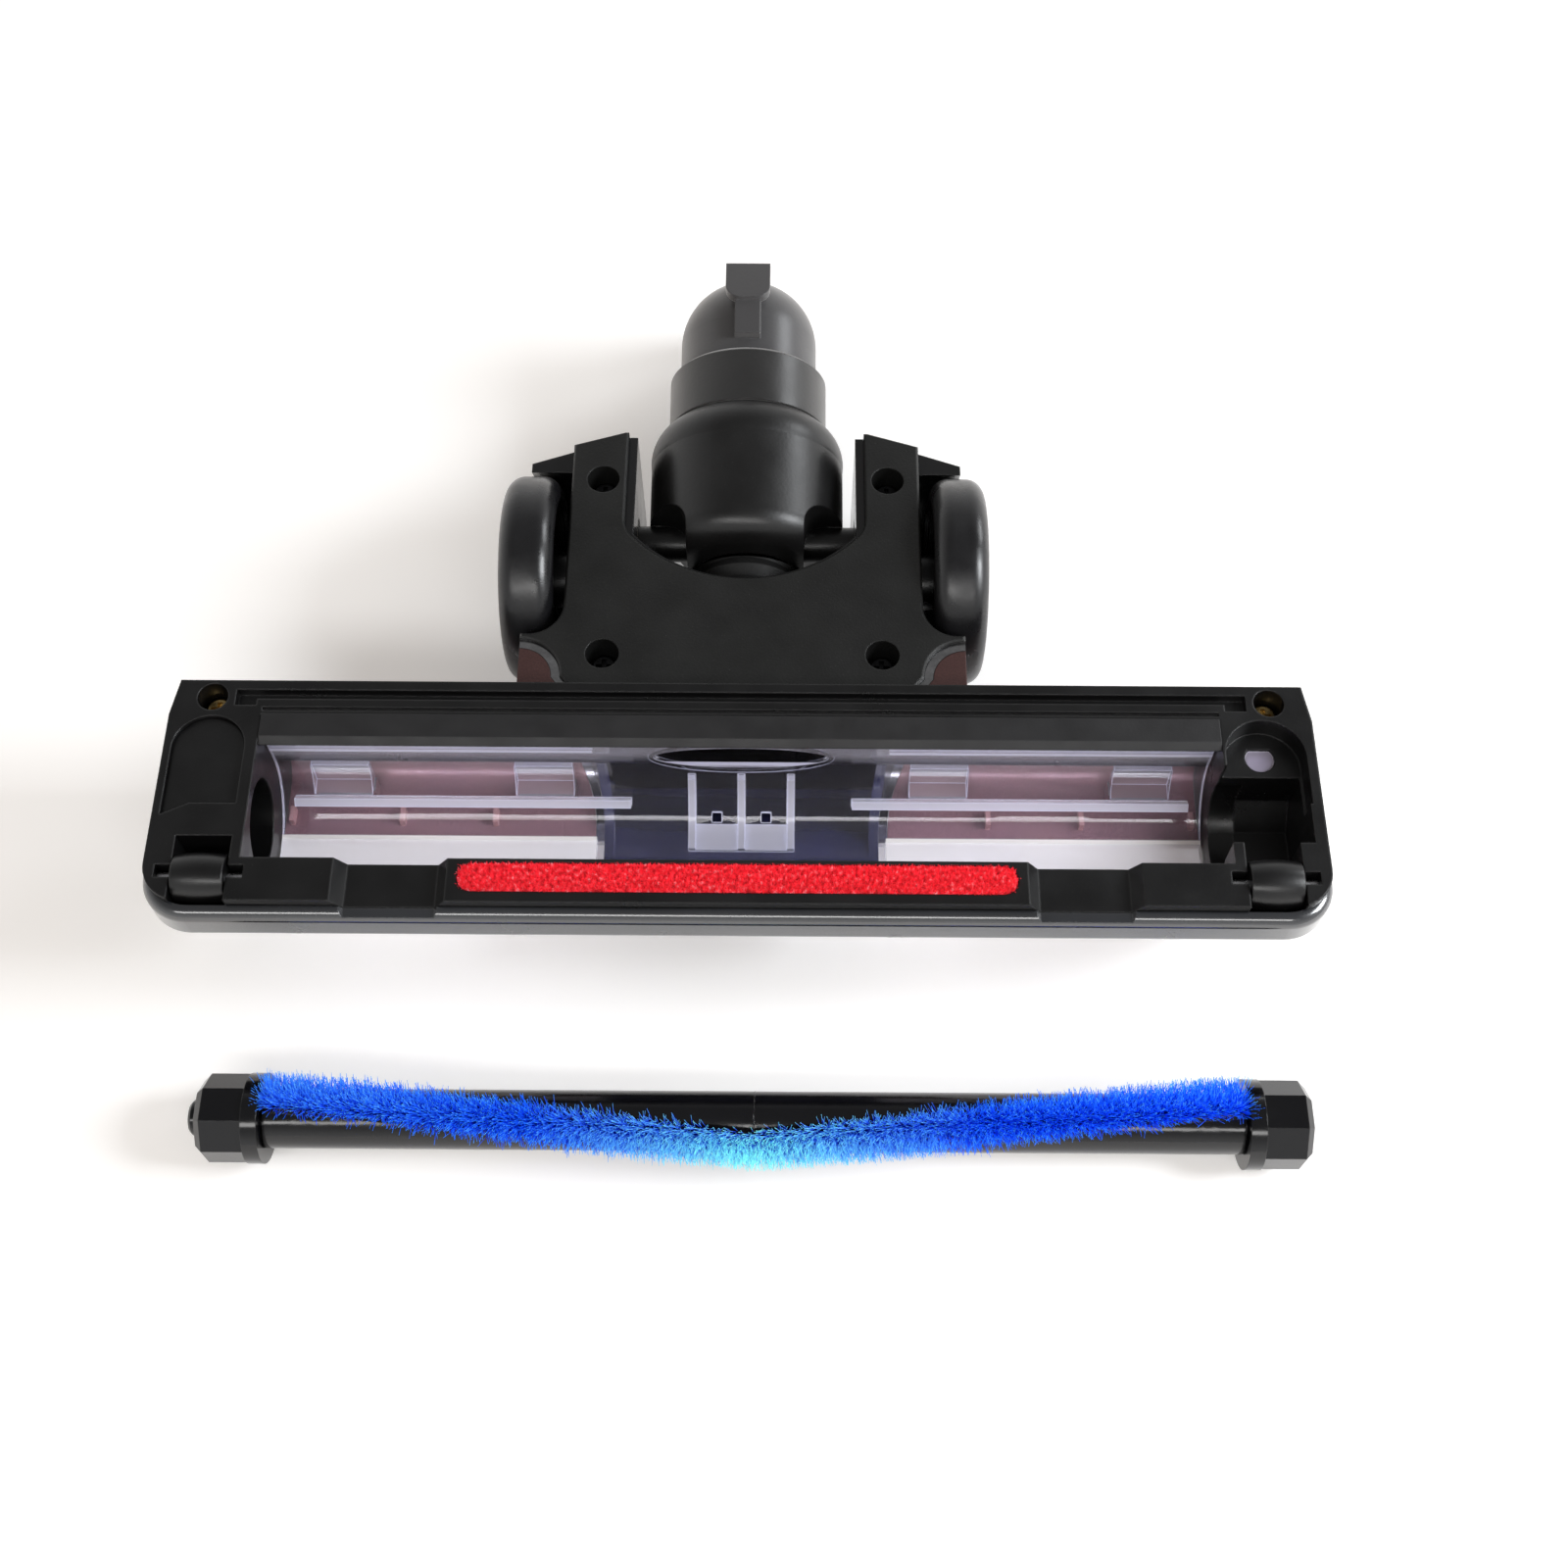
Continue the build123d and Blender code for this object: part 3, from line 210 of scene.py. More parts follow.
# Moulded plastic: soft colour drift, uneven gloss, fine skin, a little dust, rounded edges
plasticSkin = {"drift": 45.0, "dark": 0.8, "light": 1.25, "specks": 2600.0, "dustBand": (0.74, 0.8),
               "dustColor": (0.55, 0.55, 0.56), "gloss": 90.0, "skinDeep": 0.0003, "rearStep": 0.0008,
               "coatRough": 0.12}
plasticLooks = {
    "satinBlack": {"color": (0.0035, 0.0035, 0.0038), "rough": 0.32, "spread": 0.06, "skin": 0.08,
                   "skinScale": 1400.0, "shine": 0.5, "coat": 0.0, "dust": 0.03, "edge": 0.0006},
    "plateBlack": {"color": (0.006, 0.0062, 0.006), "rough": 0.44, "spread": 0.05, "skin": 0.25,
                   "skinScale": 1900.0, "shine": 0.42, "coat": 0.0, "dust": 0.04, "edge": 0.0005},
    "noseBlack": {"color": (0.012, 0.0135, 0.017), "rough": 0.26, "spread": 0.02, "skin": 0.02,
                  "skinScale": 900.0, "shine": 0.6, "coat": 0.85, "coatIor": 1.8, "dust": 0.03,
                  "edge": 0.0005},
    "neckBlack": {"color": (0.006, 0.006, 0.0062), "rough": 0.36, "spread": 0.05, "skin": 0.08,
                  "skinScale": 1200.0, "shine": 0.5, "coat": 0.0, "dust": 0.04, "edge": 0.0005},
    "elbowGreyAndReflection": {"color": (0.006, 0.006, 0.0062), "rough": 0.36, "spread": 0.05, "skin": 0.08,
                  "skinScale": 1200.0, "shine": 0.55, "coat": 0.0, "sheen": 0.4, "dust": 0.04,
                  "edge": 0.0005, "rear": (0.04, 0.04, 0.043), "rearAlong": (0.0, 0.985, 0.174),
                  "rearFrom": headLine + 0.1308},    # black collar; paler grey behind it, partly the plastic, partly painted reflection
    "rollerBlack": {"color": (0.002, 0.002, 0.003), "rough": 0.16, "spread": 0.05, "skin": 0.04,
                    "skinScale": 700.0, "shine": 0.5, "coat": 0.1, "dust": 0.02, "edge": 0.0003},
    "navyGloss": {"color": (0.016, 0.017, 0.05), "rough": 0.2, "spread": 0.05, "skin": 0.03,
                  "skinScale": 500.0, "shine": 0.5, "coat": 0.2, "dust": 0.02, "edge": 0.0005,
                  "rear": (0.004, 0.004, 0.0045), "rearAlong": (0.0, 1.0, 0.0),
                  "rearFrom": soleRear},    # navy in front of the sole's rear edge, near black behind it
    "bushGrey": {"color": (0.32, 0.32, 0.3), "rough": 0.45, "spread": 0.06, "skin": 0.06,
                 "skinScale": 900.0, "shine": 0.5, "coat": 0.0, "dust": 0.03, "edge": 0.0002},
}


def mouldedPlastic(name, look):
    finish, tree, shader = newFinish(name)
    coords = objectCoords(tree)
    dark, light = shades(look["color"], plasticSkin["dark"], plasticSkin["light"])
    color = ramp(tree, grain(tree, coords, plasticSkin["drift"]), [(0.3, dark), (0.7, light)])
    # second colour past a line: the elbow's paler grey, partly painted reflection; the shell's near-black
    # rear
    if "rear" in look:
        start = look["rearFrom"]
        back = dotOf(tree, coords, look["rearAlong"])
        far = stretch(tree, back, start - plasticSkin["rearStep"], start, 0.0, 1.0)
        color = blendColor(tree, far, color, look["rear"])
    specks = grain(tree, coords, plasticSkin["specks"], detail=1.0)
    dust = stretch(tree, specks, *plasticSkin["dustBand"], 0.0, look["dust"])
    join(tree, blendColor(tree, dust, color, plasticSkin["dustColor"]), shader.inputs["Base Color"])
    gloss = grain(tree, coords, plasticSkin["gloss"], detail=5.0)
    rough, spread = look["rough"], look["spread"]
    join(tree, stretch(tree, gloss, 0.3, 0.7, rough - spread, rough + spread), shader.inputs["Roughness"])
    skin = grain(tree, coords, look["skinScale"], detail=2.0)
    normal = bump(tree, skin, look["skin"], plasticSkin["skinDeep"], roundEdges(tree, look["edge"]))
    join(tree, normal, shader.inputs["Normal"])
    shader.inputs["Specular IOR Level"].default_value = look["shine"]
    shader.inputs["Coat Weight"].default_value = look["coat"]
    shader.inputs["Coat Roughness"].default_value = plasticSkin["coatRough"]
    shader.inputs["Coat IOR"].default_value = look.get("coatIor", 1.5)
    shader.inputs["Sheen Weight"].default_value = look.get("sheen", 0.0)
    return finish


finishes = {name: mouldedPlastic(name, look) for name, look in plasticLooks.items()}


# Rubber: dull, slightly uneven
rubberSkin = {"drift": 60.0, "dark": 0.75, "light": 1.3, "gloss": 140.0, "spread": 0.08,
              "skinDeep": 0.0003}
rubberLooks = {
    "tyreRubber": {"color": (0.006, 0.006, 0.007), "rough": 0.3, "skin": 0.06, "skinScale": 1100.0,
                   "shine": 0.55, "edge": 0.0008},
    "wiperRubber": {"color": (0.013, 0.013, 0.014), "rough": 0.5, "skin": 0.12, "skinScale": 1300.0,
                    "shine": 0.4, "edge": 0.0004},
    "hoseRubber": {"color": (0.008, 0.008, 0.008), "rough": 0.6, "skin": 0.2, "skinScale": 900.0,
                   "shine": 0.3, "edge": 0.0004},
}


def softRubber(name, look):
    finish, tree, shader = newFinish(name)
    coords = objectCoords(tree)
    dark, light = shades(look["color"], rubberSkin["dark"], rubberSkin["light"])
    drift = grain(tree, coords, rubberSkin["drift"], detail=4.0)
    join(tree, ramp(tree, drift, [(0.25, dark), (0.75, light)]), shader.inputs["Base Color"])
    gloss = grain(tree, coords, rubberSkin["gloss"], detail=4.0)
    rough, spread = look["rough"], rubberSkin["spread"]
    join(tree, stretch(tree, gloss, 0.3, 0.7, rough - spread, rough + spread), shader.inputs["Roughness"])
    skin = grain(tree, coords, look["skinScale"])
    normal = bump(tree, skin, look["skin"], rubberSkin["skinDeep"], roundEdges(tree, look["edge"]))
    join(tree, normal, shader.inputs["Normal"])
    shader.inputs["Specular IOR Level"].default_value = look["shine"]
    return finish


finishes.update({name: softRubber(name, look) for name, look in rubberLooks.items()})


# Metal: fine turning marks and small tarnish
metalSkin = {"drift": 420.0, "dark": 0.72, "marks": 1800.0, "smoother": 0.06, "rougher": 0.1, "skin": 0.1,
             "skinDeep": 0.0002}
metalLooks = {
    "steelBright": {"color": (0.6, 0.6, 0.62), "rough": 0.26},
    "brassBright": {"color": (0.72, 0.52, 0.22), "rough": 0.28},
    "trimSilver": {"color": (0.42, 0.42, 0.43), "rough": 0.16},
    # plate screws darkened: painted shade of their deep wells
    "screwPaintedShade": {"color": (0.05, 0.05, 0.053), "rough": 0.34},
}


def brightMetal(name, look):
    finish, tree, shader = newFinish(name)
    coords = objectCoords(tree)
    dark, light = shades(look["color"], metalSkin["dark"], 1.0)
    drift = grain(tree, coords, metalSkin["drift"], detail=4.0)
    join(tree, ramp(tree, drift, [(0.3, dark), (0.7, light)]), shader.inputs["Base Color"])
    marks = grain(tree, coords, metalSkin["marks"], detail=2.0)
    low, high = look["rough"] - metalSkin["smoother"], look["rough"] + metalSkin["rougher"]
    join(tree, stretch(tree, marks, 0.3, 0.7, low, high), shader.inputs["Roughness"])
    join(tree, bump(tree, marks, metalSkin["skin"], metalSkin["skinDeep"]), shader.inputs["Normal"])
    shader.inputs["Metallic"].default_value = 1.0
    return finish


finishes.update({name: brightMetal(name, look) for name, look in metalLooks.items()})


# Red-brown metallic lacquer of the wings: flakes under a clear coat; painted light paler inside, on ledge
# tops and posts, painted shade on the tail and ledge fronts
wingLook = {
    # paler under the liner as painted light, darker on the tail behind the sole as painted shade
    "inside": (0.35, 0.185, 0.2), "outside": (0.075, 0.034, 0.032), "tailStep": 0.0006,
    # ledge tops paler as painted light, ledge fronts darker as painted shade
    "ledgeTopPaintedLight": (0.3, 0.29, 0.31), "paintedLedgeShade": (0.11, 0.03, 0.03),
    "ledges": ((0.0396, 0.0532), (0.0873, 0.1009)), "ledgeFrom": headLine + 0.0108, "ledgeDeep": 0.0045,
    "post": (0.62, 0.34, 0.33), "posts": (0.0586, 0.0808, 0.107), "postHalf": 0.00063,
    "postFrom": headLine + 0.0039, "postDeep": 0.0042,
    "flake": 3200.0, "flakeDark": 0.7, "drift": 70.0, "rough": 0.36, "smoother": 0.05, "rougher": 0.08,
    "skin": 0.06, "skinDeep": 0.0002, "edge": 0.0004, "metal": 0.35, "coat": 0.35, "coatRough": 0.1,
}


def wingColor(tree, coords):
    alongX, alongY, _ = splitAxes(tree, coords)
    alongX = maths(tree, "ABSOLUTE", alongX)
    _, faceY, faceZ = splitAxes(tree, addNode(tree, "ShaderNodeNewGeometry").outputs["Normal"])
    # painted shade on the tail behind the sole's rear edge; the paler colour under the liner is painted
    # light
    tail = stretch(tree, alongY, soleRear - wingLook["tailStep"], soleRear, 0.0, 1.0)
    color = blendColor(tree, tail, wingLook["inside"], wingLook["outside"])
    start = wingLook["ledgeFrom"]
    onLedge = both(tree, anyOf(tree, [inside(tree, alongX, *span) for span in wingLook["ledges"]]),
                   inside(tree, alongY, start, start + wingLook["ledgeDeep"]))
    # painted light on the upward ledge tops, painted shade on their fronts facing the nose
    paintedLedgeLight = both(tree, onLedge, stretch(tree, faceZ, 0.5, 0.6, 0.0, 1.0))
    color = blendColor(tree, paintedLedgeLight, color, wingLook["ledgeTopPaintedLight"])
    paintedLedgeShade = both(tree, onLedge, stretch(tree, faceY, -0.6, -0.5, 1.0, 0.0))
    color = blendColor(tree, paintedLedgeShade, color, wingLook["paintedLedgeShade"])
    # painted highlight on the posts
    half, start = wingLook["postHalf"], wingLook["postFrom"]
    spans = [inside(tree, alongX, middle - half, middle + half) for middle in wingLook["posts"]]
    onPost = both(tree, anyOf(tree, spans), inside(tree, alongY, start, start + wingLook["postDeep"]))
    return blendColor(tree, onPost, color, wingLook["post"])


def wingLacquer():
    finish, tree, shader = newFinish("wingRedBrown")
    coords = objectCoords(tree)
    flakes = grain(tree, coords, wingLook["flake"], detail=1.0)
    dark, light = shades((1.0, 1.0, 1.0), wingLook["flakeDark"], 1.0)
    glint = addNode(tree, "ShaderNodeMix", data_type="RGBA", blend_type="MULTIPLY")
    glint.inputs["Factor"].default_value = 1.0
    join(tree, wingColor(tree, coords), glint.inputs[6])
    join(tree, ramp(tree, flakes, [(0.35, dark), (0.7, light)]), glint.inputs[7])
    join(tree, glint.outputs[2], shader.inputs["Base Color"])
    drift = grain(tree, coords, wingLook["drift"], detail=4.0)
    low, high = wingLook["rough"] - wingLook["smoother"], wingLook["rough"] + wingLook["rougher"]
    join(tree, stretch(tree, drift, 0.3, 0.7, low, high), shader.inputs["Roughness"])
    normal = bump(tree, flakes, wingLook["skin"], wingLook["skinDeep"], roundEdges(tree, wingLook["edge"]))
    join(tree, normal, shader.inputs["Normal"])
    shader.inputs["Metallic"].default_value = wingLook["metal"]
    shader.inputs["Coat Weight"].default_value = wingLook["coat"]
    shader.inputs["Coat Roughness"].default_value = wingLook["coatRough"]
    return finish


finishes["wingRedBrown"] = wingLacquer()


# Clear lilac plastic: lets light through to the table; painted highlight lines on its edges, milkier paler
# ribs, and painted light and shade in places
clearSkin = {"flow": 55.0, "haze": 160.0, "hazeSpread": 0.03, "skin": 0.006, "skinDeep": 0.001,
             "edgeTurn": (0.97, 0.78), "edgeSamples": 6}
clearLooks = {
    "linerLilac": {"tint": (0.93, 0.92, 1.0), "deep": (0.89, 0.88, 1.0), "edge": (0.78, 0.79, 1.0),
                   "ior": 1.4, "rough": 0.015, "clear": 0.985, "milky": 0.05, "line": 0.0006,
                   "shadowPass": 0.9, "milkyAndLitPlaces": True},
    "paneLilac": {"tint": (0.62, 0.58, 0.72), "deep": (0.5, 0.46, 0.62), "edge": (0.88, 0.88, 1.0),
                  "ior": 1.42, "rough": 0.1, "clear": 0.6, "milky": 0.25, "line": 0.0004,
                  "shadowPass": 0.5, "milkyAndLitPlaces": False},
}
milkyAndLitLook = {
    "soft": 0.0003, "middle": 0.034,    # width of a border, half length of the clear middle
    "rib": 0.0165, "ribMilk": 0.62,    # ribs stand closer to the axis than this
    # bed: painted light low in front where the table shows through, with a painted highlight line along
    # its top
    "bed": 0.0052, "bedPaintedLight": 0.6, "bedLine": 0.0042, "bedPaintedLightColor": (1.0, 0.98, 0.99),
    # upper rear wall paler as painted reflection, its rim a painted highlight line
    "wall": 0.039, "wallRise": 0.003, "wallPaintedReflection": 0.22, "rim": (0.0428, 0.0440), "rimPaintedHighlight": 0.9,
    "clip": 0.0187, "clipMilk": 0.75, "clipFrom": 0.038, "clipStep": -0.0088,
    "clipColor": (0.33, 0.33, 0.37), "clipPaintedShade": (0.16, 0.045, 0.045),
}


# Painted highlight lines: paler and milkier where the rounded normal turns away from the flat one
def edgeLines(tree, radius):
    rounded = roundEdges(tree, radius, clearSkin["edgeSamples"])
    flat = addNode(tree, "ShaderNodeNewGeometry").outputs["Normal"]
    return stretch(tree, dotOf(tree, rounded, flat), *clearSkin["edgeTurn"], 0.0, 1.0)


def pastLine(tree, value, line, share=1.0):
    return stretch(tree, value, line, line + milkyAndLitLook["soft"], 0.0, share)


def beforeLine(tree, value, line, share=1.0):
    return stretch(tree, value, line - milkyAndLitLook["soft"], line, share, 0.0)


# Milkier places and painted light: ribs milkier; painted light on the bed and upper rear wall, painted
# highlight lines at the bed's top and the wall's rim, painted shade low on the clips
def milkyAndLitPlaces(tree, coords):
    look = milkyAndLitLook
    alongX, spotY, height = splitAxes(tree, coords)
    alongX = maths(tree, "ABSOLUTE", alongX)
    alongY = maths(tree, "SUBTRACT", spotY, troughY)
    alongZ = maths(tree, "SUBTRACT", height, troughZ)
    reach = fromAxis(tree, alongY, alongZ)
    low = beforeLine(tree, alongZ, look["soft"])    # below the roller's axis
    outer = pastLine(tree, alongX, look["middle"])
    rib = both(tree, beforeLine(tree, reach, look["rib"], look["ribMilk"]), low)
    # painted light on the bed band, with a painted highlight line at its top
    strip = beforeLine(tree, alongY, look["bed"], look["bedPaintedLight"])
    line = both(tree, pastLine(tree, alongY, look["bedLine"] - look["soft"]),
                beforeLine(tree, alongY, look["bed"]))
    bed = both(tree, either(tree, strip, line), both(tree, outer, low))
    clip = both(tree, both(tree, pastLine(tree, reach, look["clip"], look["clipMilk"]), low),
                maths(tree, "GREATER_THAN", alongX, look["clipFrom"]))
    # the clips' lower part dark red-brown: painted shade of the ledge fronts behind
    step = pastLine(tree, alongZ, look["clipStep"])
    clipColor = blendColor(tree, step, look["clipPaintedShade"], look["clipColor"])
    # painted reflection on the upper rear wall and a painted highlight line along its rim
    rise = stretch(tree, height, look["wall"], look["wall"] + look["wallRise"], 0.0, look["wallPaintedReflection"])
    rim = both(tree, inside(tree, height, *look["rim"]),
               pastLine(tree, alongX, look["middle"], look["rimPaintedHighlight"]))
    wall = both(tree, either(tree, rise, rim), pastLine(tree, alongY, 0.0))
    return either(tree, rib, wall), bed, clip, clipColor


def clearLilac(name, look):
    finish, tree, shader = newFinish(name)
    coords = objectCoords(tree)
    flow = grain(tree, coords, clearSkin["flow"], detail=4.0)
    color = ramp(tree, flow, [(0.3, look["deep"]), (0.7, look["tint"])])
    milkAndLight = edgeLines(tree, look["line"])
    if look["milkyAndLitPlaces"]:
        rib, bed, clip, clipColor = milkyAndLitPlaces(tree, coords)
        color = blendColor(tree, clip, color, clipColor)
        color = blendColor(tree, either(tree, milkAndLight, rib), color, look["edge"])
        color = blendColor(tree, bed, color, milkyAndLitLook["bedPaintedLightColor"])
        for mask in (rib, bed, clip):
            milkAndLight = either(tree, milkAndLight, mask)
    else:
        color = blendColor(tree, milkAndLight, color, look["edge"])
    join(tree, color, shader.inputs["Base Color"])
    clear = stretch(tree, milkAndLight, 0.0, 1.0, look["clear"], look["milky"])
    join(tree, clear, shader.inputs["Transmission Weight"])
    haze = grain(tree, coords, clearSkin["haze"], detail=4.0)
    rough = look["rough"]
    join(tree, stretch(tree, haze, 0.35, 0.75, rough, rough + clearSkin["hazeSpread"]),
         shader.inputs["Roughness"])
    join(tree, bump(tree, flow, clearSkin["skin"], clearSkin["skinDeep"]), shader.inputs["Normal"])
    paleShadow(tree, shader, look["shadowPass"])
    shader.inputs["IOR"].default_value = look["ior"]
    return finish


finishes.update({name: clearLilac(name, look) for name, look in clearLooks.items()})
print("finishes made:", len(finishes))

# Which finish each moulded or turned piece has
nodeFinish = {
    "sole_frame": "satinBlack", "front_bumper": "noseBlack", "chamber_liner": "linerLilac",
    "top_shell": "navyGloss", "rear_plate": "plateBlack", "left_end_cap": "satinBlack",
    "bay_window": "paneLilac", "rear_wiper": "wiperRubber", "plate_screws": "screwPaintedShade",
    "corner_screws": "brassBright", "neck_barrel": "neckBlack", "neck_elbow": "elbowGreyAndReflection",
    "swivel_washer": "neckBlack", "roller_shaft": "steelBright",
}
pairFinish = {
    "wing": "wingRedBrown", "trim": "trimSilver", "front_roller": "satinBlack",
    "front_axle": "steelBright", "wheel_hub": "satinBlack", "tyre": "tyreRubber",
    "wheel_axle": "steelBright", "neck_bush": "bushGrey", "roller_core": "rollerBlack",
    "roller_blade": "wiperRubber", "end_block": "rollerBlack", "roller_bush": "bushGrey",
}
for name, finish in pairFinish.items():
    nodeFinish["left_" + name] = finish
    nodeFinish["right_" + name] = finish
for node, finish in nodeFinish.items():
    slots = nodes[node].data.materials
    slots.clear()
    slots.append(finishes[finish])
print("moulded pieces dressed:", len(nodeFinish))


# New pieces: from a bmesh to an object that stands in for its node
def toMesh(name, bm):
    mesh = bpy.data.meshes.new(name)
    bm.to_mesh(mesh)
    bm.free()
    return mesh


def addPiece(name, bm, finish):
    mesh = toMesh(name, bm)
    mesh.materials.append(finish)
    piece = bpy.data.objects.new(name, mesh)
    scene.collection.objects.link(piece)
    return piece


def standIn(piece, node):
    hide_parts(node)
    return piece


def mergedCopy(node, distance):
    bm = bmesh.new()
    bm.from_mesh(nodes[node].data)
    bmesh.ops.remove_doubles(bm, verts=bm.verts, dist=distance)
    return bm


def addCopy(bm, mesh, matrix):
    copy = mesh.copy()
    copy.transform(matrix)
    bm.from_mesh(copy)
    bpy.data.meshes.remove(copy)


def addFibre(bm, matrix, wide, taper, length):
    lift = Matrix.Translation((0, 0, length / 2))
    bmesh.ops.create_cone(bm, cap_ends=False, segments=3, radius1=wide, radius2=wide * taper, depth=length,
                          matrix=matrix @ lift)


# Duct hose between the head and the neck: a merged copy with smooth faces and creases kept; the stiff
# stretch's end and the far end are worked out but not used
hoseLook = {"stiff": 0.35, "merge": 2e-6, "crease": 0.6}


def makeHose():
    low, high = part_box("duct_hose")
    start = (low + high) / 2
    end = start.copy()
    start.y = low.y + hoseLook["stiff"] * (high.y - low.y)
    end.y = high.y
    bm = mergedCopy("duct_hose", hoseLook["merge"])
    for face in bm.faces:
        face.smooth = True
    for edge in bm.edges:
        edge.smooth = edge.calc_face_angle(0.0) < hoseLook["crease"]
    piece = addPiece("hose", bm, finishes["hoseRubber"])
    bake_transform(piece)
    return standIn(piece, "duct_hose")


hose = makeHose()
print("hose:", len(hose.data.polygons), "faces")


# Bristles: tufts of tapered fibres along each half of the roller
bristleLook = {
    "half": 0.1099, "angle": 148.0, "twist": 78.0, "root": 0.0058, "rowHalf": 0.0013, "step": 0.00021,
    "perTuft": 17, "variants": 12, "seed": 11, "wobble": 7.0,
    "length": 0.0066, "lengths": (0.78, 1.08), "fibre": 0.00013, "widths": (0.8, 1.25), "taper": 0.45,
    "fan": 40.0, "fanSpread": 9.0, "lean": 19.0,
    "mapLong": 0.115, "mapDeep": 0.014,
}
bristlePaint = {
    "blues": [(0.0, (0.0, 0.025, 0.5)), (0.35, (0.006, 0.1, 1.0)), (0.7, (0.02, 0.25, 1.0)),
              (1.0, (0.16, 0.62, 1.0))],    # darker at the roots, paler at the tips as painted light through the fibres
    "tips": (0.0075, 0.0128), "patches": 900.0, "patchSpread": 0.25,
    "seamPaintedLight": (0.35, 1.0, 1.0), "seamReach": 0.05, "seamBand": (0.2, 0.7),
    "leftColor": (0.12, 0.4, 1.0), "leftFrom": -0.05, "leftTo": -0.115, "leftShare": 0.3,
    "leftBand": (0.1, 0.6), "rough": 0.42, "shine": 0.25, "shadowPass": 0.85,
}


def bristleFinish():
    paint = bristlePaint
    finish, tree, shader = newFinish("bristleBlue")
    spotX, spotY, spotZ = splitAxes(tree, objectCoords(tree))
    reach = fromAxis(tree, maths(tree, "SUBTRACT", spotY, rollerLine.y),
                     maths(tree, "SUBTRACT", spotZ, rollerLine.z))
    patches = grain(tree, flatCoords(tree, spotX, reach), paint["patches"], detail=2.0)
    spread = paint["patchSpread"]
    total = maths(tree, "ADD", stretch(tree, reach, *paint["tips"], 0.0, 1.0),
                  stretch(tree, patches, 0.0, 1.0, -spread, spread))
    fromSeam = maths(tree, "SUBTRACT", spotX, rollerLine.x)
    left = both(tree, stretch(tree, fromSeam, paint["leftFrom"], paint["leftTo"], 0.0, paint["leftShare"]),
                stretch(tree, total, *paint["leftBand"], 0.0, 1.0))
    # painted light: pale cyan tips near the seam
    paintedSeamLight = both(tree, stretch(tree, maths(tree, "ABSOLUTE", fromSeam), 0.0, paint["seamReach"], 1.0, 0.0),
                stretch(tree, total, *paint["seamBand"], 0.0, 1.0))
    color = blendColor(tree, left, ramp(tree, total, paint["blues"]), paint["leftColor"])
    join(tree, blendColor(tree, paintedSeamLight, color, paint["seamPaintedLight"]), shader.inputs["Base Color"])
    shader.inputs["Roughness"].default_value = paint["rough"]
    shader.inputs["Specular IOR Level"].default_value = paint["shine"]
    paleShadow(tree, shader, paint["shadowPass"])    # thin fibres let light through
    return finish


finishes["bristleBlue"] = bristleFinish()


def makeTuft(draw):
    look = bristleLook
    bm = bmesh.new()
    for _ in range(look["perTuft"]):
        across = draw.uniform(-1, 1)
        turn = math.radians(across * look["fan"] + draw.gauss(0, look["fanSpread"]))
        lean = math.radians(draw.gauss(0, look["lean"]))
        length = look["length"] * draw.uniform(*look["lengths"])
        wide = look["fibre"] * draw.uniform(*look["widths"])
        root = Matrix.Translation((draw.uniform(-1, 1) * look["step"] * 2, across * look["rowHalf"], 0))
        spin = Matrix.Rotation(-turn, 4, "X") @ Matrix.Rotation(lean, 4, "Y")
        addFibre(bm, root @ spin, wide, look["taper"], length)
    return toMesh("tuft", bm)


def mapBristles(bm):
    layer = bm.loops.layers.uv.new("OFBake")    # along the roller, and out from its axis
    for face in bm.faces:
        for loop in face.loops:
            along, across, up = loop.vert.co - rollerLine
            loop[layer].uv = (abs(along) / bristleLook["mapLong"],
                              math.hypot(across, up) / bristleLook["mapDeep"])


def bristleRow(side):
    look = bristleLook
    draw = random.Random(look["seed"] + (side > 0))
    tufts = [makeTuft(draw) for _ in range(look["variants"])]
    rise = Matrix.Translation((0, 0, look["root"]))
    bm = bmesh.new()
    for index in range(int(look["half"] / look["step"])):
        along = (index + 0.5) * look["step"]
        angle = look["angle"] - look["twist"] * along / look["half"]
        spot = Matrix.Translation(rollerLine + Vector((side * along, 0, 0)))
        turn = Matrix.Rotation(math.radians(angle - 90), 4, "X")
        wobble = Matrix.Rotation(math.radians(draw.gauss(0, look["wobble"])), 4, "X")
        flip = Matrix.Rotation(math.pi if draw.random() < 0.5 else 0.0, 4, "Z")
        addCopy(bm, draw.choice(tufts), spot @ turn @ rise @ wobble @ flip)
    for tuft in tufts:
        bpy.data.meshes.remove(tuft)
    mapBristles(bm)
    name = "right" if side > 0 else "left"
    piece = addPiece(name + "Bristles", bm, finishes["bristleBlue"])
    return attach(standIn(piece, name + "_bristle_strip"), "brush")


for side in (-1, 1):
    row = bristleRow(side)
    print("bristles:", row.name, len(row.data.polygons), "faces")


# Lint strip: a backing with upright red pile
velourLook = {
    "pile": 0.0021, "piles": (0.75, 1.05), "sideDrop": 0.45, "fibre": 0.00013, "widths": (0.8, 1.3),
    "taper": 0.5, "lean": 19.0, "patch": 0.0017, "perPatch": 300, "variants": 6, "seed": 5,
    "inset": 0.0003, "sunk": 0.0003, "endShare": 0.2, "merge": 2e-6,
}
velourPaint = {
    "reds": [(0.3, (0.6, 0.002, 0.012)), (0.47, (0.95, 0.012, 0.04)), (0.6, (1.0, 0.06, 0.1)),
             (0.72, (1.0, 0.45, 0.5))],
    "patches": 1100.0, "rough": 0.55, "sheen": 0.1, "shadowPass": 0.8,
}


